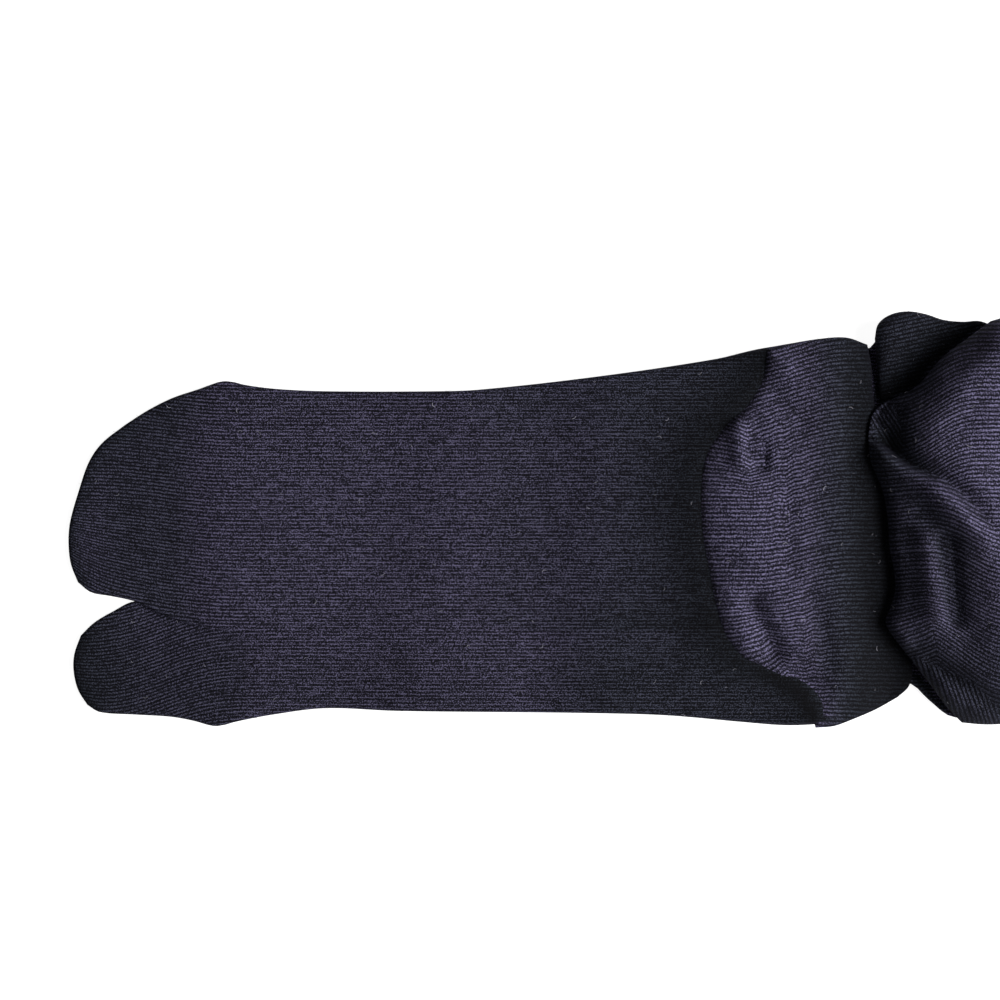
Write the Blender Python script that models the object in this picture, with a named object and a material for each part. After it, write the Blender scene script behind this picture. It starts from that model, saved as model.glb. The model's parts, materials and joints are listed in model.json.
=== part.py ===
"""A pair of knitted tabi socks, folded together and lying sole up with the toes to -X.

The left sock lies on the right one. Each leg is turned under its foot at the ankle, and each heel
pouch flops over toward the toes. Every flattened stretch of tube is one solid of two cloth layers,
and the heels' hidden layers share one rounded solid.

Lengths are in millimetres. "along" runs from the tip of the left sock's toes toward the ankles,
"across" is measured from the middle of the left foot, height is +Z, and the floor is at zero.
"""

from collections import namedtuple

import bmesh
import bpy
import numpy as np

# Driving dimensions
MM = 0.001
CLOTH = 1.1  # one layer of knitted cloth
TUBE = 2 * CLOTH  # a flattened tube: two layers
GAP = 0.4  # air between stacked tubes
PITCH = TUBE + GAP
SEAM = 0.3  # air between two stretches of one tube
PAIR_LENGTH = 279.5
ACROSS_MIDDLE = 8.65  # middle of the pair, measured from the middle of the left foot
SHIFT = 48.1  # the right sock lies this much further along
RIGHT_TOE_WIDTH = 0.88  # the hidden toes are tucked in to this share of their width
CUFF_DEPTH = 18.0
CUFF_WAIST = 0.8  # a cuff's mouth is this much narrower at each side
LEFT_MOUTH = 106.0
LEFT_MOUTH_SLANT = 0.158  # how far the left mouth runs along for each millimetre across
RIGHT_MOUTH = 153.0
LEFT_TUBES_END = 211.5  # where the flat tubes end inside each heel's fold
RIGHT_TUBES_END = 262.0
LEFT_CROWN = 18.0  # heights of the two heels
RIGHT_CROWN = 26.0
RIGHT_ANKLE_DROP = 21.5  # how far the right heel turns down round its own ankle
# How much lower a heel lies at its lips than at its crown, and how far in it reaches that height
LEFT_FALL = (3.8, 20.0)
FLAP_FALL = (11.0, 28.0)
PANEL_FALL = (8.0, 12.0)
TUBE_RIM = TUBE / 2
LEFT_RIM = 1.6  # radius of the left heel's rolled lip
RIGHT_RIM = 3.0
BULGE_RIM = 4.2
UNDER_RIM = 1.2

Point = namedtuple("Point", "along across")
Fold = namedtuple("Fold", "start end width rise")

# The left foot, sole up, from its toe seam to its end inside the heel
FOOT_OUTER = [
    Point(43.6, 46.8), Point(49.0, 45.7), Point(58.0, 44.6), Point(72.0, 44.0),
    Point(100.5, 44.0), Point(113.0, 44.4), Point(146.4, 48.1), Point(178.1, 52.8),
    Point(189.1, 55.4), Point(198.0, 56.8), Point(LEFT_TUBES_END, 58.2),
]
FOOT_INNER = [
    Point(41.1, -48.1), Point(46.3, -47.0), Point(56.2, -45.1), Point(70.8, -43.3),
    Point(89.8, -44.0), Point(146.4, -44.6), Point(165.4, -45.2), Point(185.8, -47.0),
    Point(198.4, -47.9), Point(LEFT_TUBES_END, -47.2),
]
# The four-toe pocket: its edge along the split, its round tip, and its outer edge to the ear
TOES_SPLIT = [
    Point(2.6, -8.6), Point(6.2, -11.4), Point(11.5, -12.4), Point(18.6, -14.0),
    Point(25.0, -17.2), Point(32.2, -19.9), Point(37.3, -20.9), Point(42.4, -21.6),
]
TOES_TIP = [
    Point(2.6, -8.6), Point(0.6, -3.4), Point(0.0, 2.8), Point(0.5, 8.3), Point(2.9, 16.8),
    Point(5.6, 24.5), Point(9.2, 29.7), Point(15.5, 34.7),
]
TOES_OUTER = [
    Point(15.5, 34.7), Point(21.9, 38.8), Point(28.7, 42.2), Point(35.9, 44.6), Point(43.6, 46.8),
]
# The big-toe pocket, likewise
BIG_TIP = [
    Point(3.4, -23.3), Point(1.6, -28.4), Point(1.4, -33.0), Point(2.6, -38.2), Point(5.2, -42.4),
]
BIG_OUTER = [
    Point(5.2, -42.4), Point(8.6, -44.4), Point(18.3, -45.1), Point(28.2, -45.7),
    Point(34.5, -46.8), Point(41.1, -48.1),
]
BIG_SPLIT = [Point(3.4, -23.3), Point(7.0, -19.8), Point(12.0, -16.8)]
BIG_SPLIT += [Point(p.along, p.across - SEAM) for p in TOES_SPLIT[3:]]
# The left heel pouch: the lip that lies on the sole, the ankle fold and the two sides
LEFT_LIP = [
    Point(205.6, -48.5), Point(204.2, -43.4), Point(200.8, -38.8), Point(196.6, -35.4),
    Point(191.0, -32.4), Point(185.6, -29.4), Point(181.6, -25.2), Point(178.8, -19.0),
    Point(176.1, -6.9), Point(173.9, 5.8), Point(173.6, 17.6), Point(174.8, 26.0),
    Point(178.0, 31.8), Point(182.2, 36.0), Point(186.2, 40.2), Point(189.3, 45.0),
    Point(191.6, 50.4), Point(192.2, 55.9),
]
LEFT_ANKLE = [
    Point(228.4, -40.2), Point(231.6, -36.9), Point(232.4, -30.0), Point(231.6, -12.0),
    Point(230.6, 12.0), Point(228.2, 27.0), Point(223.4, 36.4), Point(221.5, 43.0),
    Point(221.2, 50.0), Point(220.0, 56.8),
]
LEFT_HEEL_OUTER = [
    Point(192.2, 55.9), Point(197.9, 56.9), Point(206.4, 58.3), Point(214.0, 58.7), Point(220.0, 56.8),
]
LEFT_HEEL_INNER = [
    Point(205.6, -48.5), Point(210.5, -48.1), Point(215.2, -46.5), Point(222.1, -43.7),
    Point(228.4, -40.2),
]
# The right heel pouch: a deep crease parts its panel from its flap, each with a lip and two sides
CREASE = [
    Point(220.4, 35.0), Point(222.8, 32.3), Point(227.3, 27.5), Point(231.1, 24.5),
    Point(235.5, 22.3), Point(239.9, 20.1), Point(245.0, 16.5), Point(251.5, 9.9),
    Point(256.4, 3.0), Point(262.0, -4.0), Point(270.0, -10.0), Point(279.3, -13.0),
]
PANEL_LIP = [
    Point(220.4, 35.0), Point(221.4, 37.9), Point(224.0, 40.4), Point(228.4, 42.6),
    Point(231.8, 44.2), Point(234.8, 46.6), Point(237.4, 49.8), Point(240.2, 53.0),
    Point(243.6, 55.8), Point(248.0, 59.0), Point(253.7, 63.2),
]
PANEL_OUTER = [
    Point(253.7, 63.2), Point(258.5, 64.3), Point(264.0, 63.0), Point(269.0, 59.5), Point(273.6, 53.5),
]
PANEL_ANKLE = [
    Point(279.3, -13.0), Point(279.4, 4.0), Point(278.6, 24.0), Point(276.8, 41.0), Point(273.6, 53.5),
]
FLAP_LIP = [
    Point(246.0, -47.2), Point(242.1, -43.2), Point(237.0, -36.4), Point(231.2, -29.0),
    Point(226.6, -23.0), Point(224.8, -19.4), Point(226.2, -15.4), Point(227.5, -10.5),
    Point(227.1, -5.0), Point(225.9, 1.0), Point(225.4, 9.0), Point(224.2, 16.0),
    Point(222.4, 20.5), Point(220.7, 24.6), Point(220.0, 30.6), Point(220.4, 35.0),
]
FLAP_INNER = [
    Point(246.0, -47.2), Point(252.0, -47.7), Point(258.0, -47.4), Point(265.0, -45.6),
    Point(271.5, -41.5),
]
FLAP_ANKLE = [Point(271.5, -41.5), Point(276.6, -34.0), Point(278.8, -24.0), Point(279.3, -13.0)]
# The right sole's bulge beside the left ankle
BULGE_LEFT = [Point(224.4, 38.6), Point(223.2, 45.0), Point(222.6, 52.0), Point(222.0, 58.4)]
BULGE_OUTER = [
    Point(222.0, 58.4), Point(222.9, 62.4), Point(226.2, 65.0), Point(231.0, 65.95),
    Point(236.0, 65.2), Point(241.0, 63.6), Point(246.3, 63.1), Point(251.0, 63.3), Point(255.5, 61.5),
]
BULGE_HIDDEN = [Point(224.4, 38.6), Point(230.0, 38.4), Point(239.0, 42.0), Point(251.0, 50.0)]
BULGE_RIGHT = [Point(251.0, 50.0), Point(254.5, 56.0), Point(255.5, 61.5)]
# The hidden right foot and both legs: edges that keep inside what lies on them
RIGHT_FOOT_OUTER = [
    Point(105.0, 43.0), Point(125.0, 43.9), Point(150.0, 47.2), Point(180.0, 51.8),
    Point(206.0, 55.4), Point(220.0, 55.6), Point(224.0, 60.0), Point(229.0, 64.0),
    Point(236.0, 64.0), Point(246.0, 61.8), Point(RIGHT_TUBES_END, 60.0),
]
RIGHT_FOOT_INNER = [
    Point(105.0, -42.0), Point(125.0, -42.8), Point(150.0, -43.4), Point(190.0, -44.6),
    Point(212.0, -43.6), Point(225.0, -38.6), Point(231.5, -36.4), Point(237.0, -41.0),
    Point(244.0, -45.8), Point(RIGHT_TUBES_END, -44.6),
]
LEFT_LEG_OUTER = [Point(160.0, 46.0), Point(190.0, 52.0), Point(LEFT_TUBES_END, 56.4)]
LEFT_LEG_INNER = [Point(160.0, -43.0), Point(190.0, -45.4), Point(LEFT_TUBES_END, -45.4)]
RIGHT_LEG_OUTER = [Point(200.0, 46.0), Point(230.0, 54.0), Point(RIGHT_TUBES_END, 58.6)]
RIGHT_LEG_INNER = [
    Point(200.0, -39.4), Point(212.0, -40.4), Point(222.0, -38.0), Point(231.5, -34.8),
    Point(237.0, -38.2), Point(244.0, -42.8), Point(RIGHT_TUBES_END, -43.2),
]
LEG_HALF_WIDTHS = {"left": (-41.6, 42.4), "right": (-38.0, 42.0)}

# The largest soft folds of each heel: a line, how wide it is, and how much it rises or sinks
LEFT_FOLDS = [
    Fold(Point(184.0, 34.0), Point(184.8, 25.0), 3.0, 1.3),
    Fold(Point(190.0, 29.0), Point(191.0, 19.0), 2.8, -2.0),
    Fold(Point(181.4, -9.0), Point(187.4, -27.0), 3.4, 1.2),
    Fold(Point(188.4, -15.0), Point(194.4, -27.5), 3.2, -2.2),
    Fold(Point(196.4, 31.0), Point(199.5, -4.0), 4.0, -0.8),
    Fold(Point(204.0, -10.0), Point(209.0, -30.0), 4.0, -1.0),
]
RIGHT_FOLDS = [
    Fold(Point(234.6, 4.0), Point(237.4, -21.0), 3.2, 1.8),
    Fold(Point(240.4, 3.0), Point(243.4, -20.0), 3.4, -2.6),
    Fold(Point(234.6, 10.5), Point(240.0, 4.0), 2.8, -1.3),
    Fold(Point(233.0, -28.0), Point(258.0, -44.0), 3.2, -2.2),
    Fold(Point(228.4, 38.6), Point(228.8, 31.0), 2.6, -1.4),
    Fold(Point(243.0, 50.4), Point(250.0, 57.0), 3.0, -1.4),
    Fold(Point(254.0, 30.0), Point(262.0, 52.0), 7.0, 0.8),
]
CREASE_DEPTH = 6.6
CREASE_FADE = (0.16, 0.44)  # shares of the crease's length between which it dies out
CREASE_REACH = {"panel": 7.4, "flap": 2.0}  # how far the crease slopes to each side
FLAP_RIDGE = 1.9

INK_NAVY = (0.022, 0.020, 0.032, 1.0)


def ramp(value, start, end):
    """A smooth step from 0 at start to 1 at end."""
    share = np.clip((value - start) / (end - start), 0.0, 1.0)
    return share * share * (3.0 - 2.0 * share)


def curve(points, pieces=8):
    """A smooth line through the points, as an array of (along, across)."""
    knots = np.array(points, float)
    knots = np.vstack([2 * knots[0] - knots[1], knots, 2 * knots[-1] - knots[-2]])
    line = []
    for k in range(1, len(knots) - 2):
        before, start, end, after = knots[k - 1 : k + 3]
        span = np.linalg.norm(end - start)
        leave = (end - before) / np.linalg.norm(end - before) * span
        arrive = (after - start) / np.linalg.norm(after - start) * span
        for share in np.arange(pieces) / pieces:
            square = share**2
            cube = share**3
            line.append(
                (2 * cube - 3 * square + 1) * start
                + (cube - 2 * square + share) * leave
                + (3 * square - 2 * cube) * end
                + (cube - square) * arrive
            )
    line.append(knots[-2])
    return np.array(line)


def straight(start, end):
    """A straight line as an array of (along, across)."""
    return np.linspace(start, end, 12)


def spaced(line, shares):
    """Points at the given shares of a line's length."""
    steps = np.linalg.norm(np.diff(line, axis=0), axis=1)
    length = np.concatenate([[0.0], np.cumsum(steps)])
    at = np.asarray(shares) * length[-1]
    return np.stack([np.interp(at, length, line[:, k]) for k in range(2)], axis=1)


def shares_between(count, length, start_rim, end_rim):
    """Shares 0 to 1: even steps, with two more rows inside each rim that is round."""
    rim_steps = np.array([0.0, 0.13, 0.5])
    start = rim_steps * start_rim if start_rim else np.array([])
    end = rim_steps * end_rim if end_rim else np.array([])
    middle = np.linspace(start_rim, length - end_rim, count + 1)
    return np.concatenate([start, middle, (length - end)[::-1]]) / length


def patch(low, high, start, end, stations, rows):
    """A grid of plan points inside four edge lines.

    low and high run along, and start and end run from low to high.
    """
    low = spaced(low, stations)
    high = spaced(high, stations)
    start = spaced(start, rows)
    end = spaced(end, rows)
    s = np.asarray(stations)[:, None, None]
    c = np.asarray(rows)[None, :, None]
    ruled = (1 - c) * low[:, None] + c * high[:, None]
    bowed = (1 - s) * start[None] + s * end[None]
    first = (1 - c) * low[0] + c * high[0]
    last = (1 - c) * low[-1] + c * high[-1]
    return ruled + bowed - (1 - s) * first - s * last


def distance_to(points, lines):
    """The distance from each plan point to the nearest of several lines."""
    best = np.full(points.shape[:-1], np.inf)
    for line in lines:
        for start, end in zip(line[:-1], line[1:]):
            run = end - start
            share = ((points - start) @ run) / max(float(run @ run), 1e-12)
            near = start + np.clip(share, 0.0, 1.0)[..., None] * run
            best = np.minimum(best, np.linalg.norm(points - near, axis=-1))
    return best


def rounding(distance, radius):
    """0 at a rim, rising as a quarter circle to 1 at the radius."""
    return np.sqrt(1.0 - (1.0 - np.minimum(distance / radius, 1.0)) ** 2)


def folded(points, folds):
    """The summed height of soft folds at each plan point."""
    height = np.zeros(points.shape[:-1])
    for fold in folds:
        line = np.array([fold.start, fold.end], float)
        height += fold.rise * np.exp(-((distance_to(points, [line]) / fold.width) ** 2))
    return height


def left_foot_floor(points):
    """What the left foot rests on: the right toes, then the left leg, then the right leg."""
    along = points[..., 0]
    level = along - LEFT_MOUTH_SLANT * points[..., 1]
    over_toes = ramp(along, SHIFT - 19.0, SHIFT - 1.5)
    over_left_leg = ramp(level, LEFT_MOUTH - 17.0, LEFT_MOUTH - 1.0)
    return PITCH * (over_toes + over_left_leg + ramp(along, RIGHT_MOUTH - 26.0, RIGHT_MOUTH - 2.0))


def left_leg_floor(points):
    """What the left leg rests on: the right foot, lifted by the right leg."""
    return PITCH * (1.0 + ramp(points[..., 0], RIGHT_MOUTH - 21.0, RIGHT_MOUTH - 2.0))


def right_foot_floor(points):
    """The right foot comes up from the floor onto its own leg."""
    return PITCH * ramp(points[..., 0], RIGHT_MOUTH - 16.0, RIGHT_MOUTH - 2.0)


def right_leg_floor(points):
    """The right leg lies on the floor."""
    return np.zeros(points.shape[:-1])


def tube_heights(rims, floor_of):
    """The under and upper heights of a flattened tube with rounded sides."""

    def heights(points):
        middle = floor_of(points) + TUBE_RIM
        swell = TUBE_RIM * rounding(distance_to(points, rims), TUBE_RIM)
        return middle - swell, middle + swell

    return heights


def rimmed(under, upper, seat, distance, lip):
    """Round a form's rims: its edge lies at a share of its height, called the seat."""
    middle = under + seat * (upper - under)
    low = middle - (middle - under) * rounding(distance, UNDER_RIM)
    return low, middle + (upper - middle) * rounding(distance, lip)


def fall(points, lines, depth, reach):
    """How much lower than its crown a pouch lies near its lips, as a rounded shoulder."""
    return depth * (1.0 - np.minimum(distance_to(points, lines) / reach, 1.0)) ** 2


def left_shoulder(points):
    """The left heel's height along its middle: nearly level, then down into the fold at the ankle."""
    along = points[..., 0]
    return LEFT_CROWN - 1.8 * ramp(along, 194.0, 214.0) - 7.2 * ramp(along, 210.0, 229.0)


def left_heel_heights(rims, ankle):
    """The under and upper heights of the left heel pouch."""

    def heights(points):
        distance = distance_to(points, rims + [ankle])
        sinking = ramp(points[..., 0], LEFT_TUBES_END + 3.0, LEFT_TUBES_END + 8.0)
        under = PITCH * (4.0 - 2.0 * sinking)
        upper = left_shoulder(points) - fall(points, rims, *LEFT_FALL) + folded(points, LEFT_FOLDS)
        return rimmed(under, np.maximum(upper, under + CLOTH), 0.7, distance, LEFT_RIM)

    return heights


def bulge_heights(rims):
    """The under and upper heights of the right sole's bulge, highest away from the heel's lip."""
    lip = curve(PANEL_LIP)

    def heights(points):
        under = np.full(points.shape[:-1], 2 * PITCH)
        upper = under + 1.6 + 4.8 * ramp(distance_to(points, [lip]), 0.0, 14.0)
        return rimmed(under, upper, 0.4, distance_to(points, rims), BULGE_RIM)

    return heights


def right_heel_under(points):
    """The right heel lies on the left ankle and on the bulge, then turns down round its own ankle."""
    along = points[..., 0]
    rests = 2 * PITCH
    over_ankle = (left_shoulder(points) + 0.7 - rests) * (1.0 - ramp(along, 231.5, 238.0))
    over_bulge = 4.4 * ramp(points[..., 1] - 0.75 * (along - 231.0), 24.0, 38.0)
    turned = ramp(along, RIGHT_TUBES_END + 3.0, RIGHT_TUBES_END + 8.0)
    return rests * (1.0 - turned) + np.maximum(over_ankle, over_bulge)


def crease_height(points):
    """The deep crease between panel and flap, and the ridge beside it, dying out toward the ankle."""
    line = curve(CREASE)
    shares = np.linspace(0.0, 1.0, len(line))
    nearest = np.linalg.norm(points[..., None, :] - line, axis=-1).argmin(axis=-1)
    distance = distance_to(points, [line])
    on_panel = points[..., 1] > line[nearest][..., 1]
    reach = np.where(on_panel, CREASE_REACH["panel"], CREASE_REACH["flap"])
    trough = CREASE_DEPTH * np.exp(-((distance / reach) ** 2))
    ridge = FLAP_RIDGE * ramp(distance, 0.0, 3.6) * np.exp(-(((distance - 3.6) / 3.4) ** 2))
    return (np.where(on_panel, 0.0, ridge) - trough) * (1.0 - ramp(shares[nearest], *CREASE_FADE))


def right_heel_heights(panel_edges, flap_edges, ankles):
    """The under and upper heights of the right heel pouch; each pair of edges starts with its lip."""
    rims = panel_edges + flap_edges + ankles
    soft_edges = panel_edges + flap_edges[1:]

    def heights(points):
        under = right_heel_under(points)
        past_crown = np.clip((points[..., 0] - 252.0) / 28.0, 0.0, 1.0)
        drop = RIGHT_ANKLE_DROP * (1.0 - np.sqrt(1.0 - past_crown**2))
        upper = RIGHT_CROWN - drop - fall(points, flap_edges[:1], *FLAP_FALL)
        upper = upper - fall(points, soft_edges, *PANEL_FALL)
        upper = upper + crease_height(points) + folded(points, RIGHT_FOLDS)
        return rimmed(under, np.maximum(upper, under + 1.5), 0.4, distance_to(points, rims), RIGHT_RIM)

    return heights


def cloth_material(name):
    """Matt knitted cotton."""
    material = bpy.data.materials.new(name)
    material.use_nodes = True
    shader = material.node_tree.nodes["Principled BSDF"]
    shader.inputs["Base Color"].default_value = INK_NAVY
    shader.inputs["Roughness"].default_value = 0.9
    shader.inputs["Metallic"].default_value = 0.0
    return material


def placed(points, height):
    """Plan points and heights in millimetres as places in metres, with the pair's middle at zero."""
    along = points[..., 0] - PAIR_LENGTH / 2
    across = points[..., 1] - ACROSS_MIDDLE
    return np.stack([along, across, height], axis=-1) * MM


def rim_of(verts):
    """The vertices round a grid, in order."""
    side = [line[-1] for line in verts[1:-1]]
    other = [line[0] for line in verts[1:-1]]
    return verts[0] + side + verts[-1][::-1] + other[::-1]


def sheet(mesh, places, faces_up):
    """A grid of faces."""
    verts = [[mesh.verts.new(place) for place in line] for line in places]
    for near, far in zip(verts[:-1], verts[1:]):
        for j in range(len(near) - 1):
            face = [near[j], far[j], far[j + 1], near[j + 1]]
            mesh.faces.new(face if faces_up else face[::-1])
    return verts


def solid(collection, name, grids, heights):
    """One closed solid: upper and under sheets, joined by a wall where their rims don't meet."""
    mesh = bmesh.new()
    for grid in grids:
        under, upper = heights(grid)
        top = rim_of(sheet(mesh, placed(grid, upper), True))
        bottom = rim_of(sheet(mesh, placed(grid, under), False))
        for k in range(len(top)):
            mesh.faces.new([top[k], top[k - 1], bottom[k - 1], bottom[k]])
    bmesh.ops.remove_doubles(mesh, verts=mesh.verts, dist=2e-6)
    inside = [face for face in mesh.faces if sum(len(edge.link_faces) > 2 for edge in face.edges) > 1]
    bmesh.ops.delete(mesh, geom=inside, context="FACES")
    bmesh.ops.recalc_face_normals(mesh, faces=mesh.faces)
    if mesh.calc_volume(signed=True) < 0:
        bmesh.ops.reverse_faces(mesh, faces=mesh.faces)
    data = bpy.data.meshes.new(name)
    mesh.to_mesh(data)
    mesh.free()
    data.materials.append(cloth_material(name + "_knit"))
    data.shade_smooth()
    collection.objects.link(bpy.data.objects.new(name, data))


def build_toes(collection, side, turn, floor_of):
    """The four-toe pocket and the big-toe pocket of one sock, parted by the split."""
    pockets = {
        "toe_pocket": [TOES_SPLIT, TOES_OUTER, TOES_TIP],
        "big_toe_pocket": [BIG_SPLIT, BIG_OUTER, BIG_TIP],
    }
    lines = {name: [curve(turn(edge)) for edge in edges] for name, edges in pockets.items()}
    rims = [line for edges in lines.values() for line in edges]
    for name, (split, outer, tip) in lines.items():
        width = np.linalg.norm(outer[-1] - split[-1])
        rows = shares_between(round(width / 6.5), width, TUBE_RIM, TUBE_RIM)
        stations = shares_between(7, 40.0, TUBE_RIM, 0.0)
        grid = patch(split, outer, tip, straight(split[-1], outer[-1]), stations, rows)
        solid(collection, f"{side}_{name}", [grid], tube_heights(rims, floor_of))
    return rims


def moved_along(point, distance):
    """A point moved toward the ankle."""
    return Point(point.along + distance, point.across)


def toe_seam(inner, split, outer):
    """The line where a foot meets its two toe pockets, a seam's gap from them."""
    split = moved_along(split, SEAM)
    return np.vstack([straight(inner, split)[:-1], straight(split, outer)])


def build_strip(collection, name, inner, outer, floor_of, station_count, start=None, rims=()):
    """A flattened tube between an inner and an outer edge."""
    start = straight(inner[0], outer[0]) if start is None else start
    length = np.linalg.norm(outer[-1] - outer[0])
    stations = shares_between(station_count, length, 0.0, 0.0)
    rows = shares_between(9, 88.0, TUBE_RIM, TUBE_RIM)
    grid = patch(inner, outer, start, straight(inner[-1], outer[-1]), stations, rows)
    solid(collection, name, [grid], tube_heights([inner, outer, *rims], floor_of))


def build_leg(collection, side, mouth, slant, edges, floor_of, station_count):
    """A leg turned under its foot, and the ribbed cuff round its mouth."""
    tops = [Point(mouth + CUFF_DEPTH + slant * at, at) for at in LEG_HALF_WIDTHS[side]]
    inner, outer = (curve([top] + edge) for top, edge in zip(tops, edges))
    build_strip(collection, f"{side}_leg", inner, outer, floor_of, station_count)
    waisted = [Point(top.along - CUFF_DEPTH, top.across * (1 - CUFF_WAIST / 42.0)) for top in tops]
    low, high = (straight(end, moved_along(top, -SEAM)) for end, top in zip(waisted, tops))
    opening = straight(low[0], high[0])
    stations = shares_between(3, CUFF_DEPTH, TUBE_RIM, 0.0)
    rows = shares_between(9, 84.0, TUBE_RIM, TUBE_RIM)
    grid = patch(low, high, opening, straight(low[-1], high[-1]), stations, rows)
    solid(collection, f"{side}_cuff", [grid], tube_heights([low, high, opening], floor_of))


def build_left_sock(collection):
    """The upper sock: toes, foot, heel pouch, leg and cuff."""
    rims = build_toes(collection, "left", list, left_foot_floor)
    inner = curve([moved_along(FOOT_INNER[0], SEAM)] + FOOT_INNER[1:])
    outer = curve([moved_along(FOOT_OUTER[0], SEAM)] + FOOT_OUTER[1:])
    seam = toe_seam(inner[0], TOES_SPLIT[-1], outer[0])
    build_strip(collection, "left_foot", inner, outer, left_foot_floor, 38, seam, rims)
    lip, ankle, low, high = map(curve, (LEFT_LIP, LEFT_ANKLE, LEFT_HEEL_INNER, LEFT_HEEL_OUTER))
    stations = shares_between(15, 54.0, LEFT_RIM, LEFT_RIM)
    rows = shares_between(28, 115.0, LEFT_RIM, LEFT_RIM)
    grid = patch(low, high, lip, ankle, stations, rows)
    solid(collection, "left_heel", [grid], left_heel_heights([lip, low, high], ankle))
    edges = (LEFT_LEG_INNER, LEFT_LEG_OUTER)
    build_leg(collection, "left", LEFT_MOUTH, LEFT_MOUTH_SLANT, edges, left_leg_floor, 18)


def turned_over(points):
    """The right toes under the left sole: the left ones mirrored, moved along and tucked in."""
    return [Point(p.along + SHIFT, 0.6 - RIGHT_TOE_WIDTH * p.across) for p in points]


def build_right_sock(collection):
    """The lower sock: toes, foot, the bulge of its sole, heel pouch, leg and cuff."""
    rims = build_toes(collection, "right", turned_over, right_foot_floor)
    split, inner_ear, outer_ear = turned_over([TOES_SPLIT[-1], TOES_OUTER[-1], BIG_OUTER[-1]])
    inner = curve([moved_along(inner_ear, SEAM)] + RIGHT_FOOT_INNER)
    outer = curve([moved_along(outer_ear, SEAM)] + RIGHT_FOOT_OUTER)
    seam = toe_seam(inner[0], split, outer[0])
    build_strip(collection, "right_foot", inner, outer, right_foot_floor, 38, seam, rims)
    left, right, low, high = map(curve, (BULGE_LEFT, BULGE_RIGHT, BULGE_HIDDEN, BULGE_OUTER))
    shares = shares_between(8, 30.0, BULGE_RIM / 2, BULGE_RIM / 2)
    grid = patch(low, high, left, right, shares, shares)
    solid(collection, "right_sole_bulge", [grid], bulge_heights([left, right, low, high]))
    build_right_heel(collection)
    edges = (RIGHT_LEG_INNER, RIGHT_LEG_OUTER)
    build_leg(collection, "right", RIGHT_MOUTH, 0.0, edges, right_leg_floor, 8)


def build_right_heel(collection):
    """The right heel pouch: a panel above the crease and a flap below it, in one solid."""
    crease = curve(CREASE)
    panel_lip, panel_outer, panel_ankle = map(curve, (PANEL_LIP, PANEL_OUTER, PANEL_ANKLE))
    flap_lip, flap_inner, flap_ankle = map(curve, (FLAP_LIP, FLAP_INNER, FLAP_ANKLE))
    stations = shares_between(19, 58.0, RIGHT_RIM, RIGHT_RIM)
    panel_rows = shares_between(14, 50.0, 2.0, RIGHT_RIM)
    flap_rows = shares_between(20, 80.0, RIGHT_RIM, 2.0)
    panel = patch(crease, panel_outer, panel_lip, panel_ankle, stations, panel_rows)
    flap = patch(flap_inner, crease, flap_lip, flap_ankle, stations, flap_rows)
    edges = [panel_lip, panel_outer], [flap_lip, flap_inner], [panel_ankle, flap_ankle]
    solid(collection, "right_heel", [panel, flap], right_heel_heights(*edges))


def main():
    """Empty the scene and build both socks in one collection."""
    for item in list(bpy.data.objects):
        bpy.data.objects.remove(item)
    collection = bpy.data.collections.new("tabi_sock_pair")
    bpy.context.scene.collection.children.link(collection)
    build_left_sock(collection)
    build_right_sock(collection)


main()
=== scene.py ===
"""The looks of a folded pair of knitted tabi socks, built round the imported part.

The left sock lies sole up on the right one, with its toes to -X. Both legs are turned under their
feet and both heel pouches flop over toward the toes. Each stretch of knitted tube is a thin shell,
with an outer face and an inner one, a cloth's thickness apart.

Lengths in the tables and the dataclasses are millimetres, and only flat sizes are metres. "along"
runs from the tip of the left toes toward the ankles, "across" is measured from the middle of the
left foot, and heights are above the floor. A wale is one lengthwise column of stitches and a course
is one row across.
"""

import json
import logging
import math
from collections.abc import Callable, Sequence
from dataclasses import dataclass, field
from enum import Enum
from functools import partial
from typing import NamedTuple

import bmesh
import bpy
import numpy as np
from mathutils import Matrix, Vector

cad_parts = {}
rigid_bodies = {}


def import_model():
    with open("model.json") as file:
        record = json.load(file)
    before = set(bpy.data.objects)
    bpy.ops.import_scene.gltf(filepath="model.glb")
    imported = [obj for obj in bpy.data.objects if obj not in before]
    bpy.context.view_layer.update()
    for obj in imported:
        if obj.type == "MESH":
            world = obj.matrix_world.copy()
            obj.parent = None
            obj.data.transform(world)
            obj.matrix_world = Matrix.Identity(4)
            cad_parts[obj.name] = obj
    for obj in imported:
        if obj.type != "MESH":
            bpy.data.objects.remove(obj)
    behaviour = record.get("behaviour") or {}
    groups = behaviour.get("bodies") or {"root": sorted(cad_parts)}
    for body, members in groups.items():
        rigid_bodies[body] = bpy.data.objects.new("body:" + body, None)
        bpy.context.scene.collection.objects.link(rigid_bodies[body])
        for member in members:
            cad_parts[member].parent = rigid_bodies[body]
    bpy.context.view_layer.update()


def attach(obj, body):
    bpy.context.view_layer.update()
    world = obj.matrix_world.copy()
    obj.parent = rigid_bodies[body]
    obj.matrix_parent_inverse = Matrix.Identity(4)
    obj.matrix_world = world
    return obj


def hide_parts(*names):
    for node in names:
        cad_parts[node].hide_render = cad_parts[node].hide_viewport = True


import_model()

log = logging.getLogger("tabi_socks")

MM = 0.001
BODY = "root"

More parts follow.
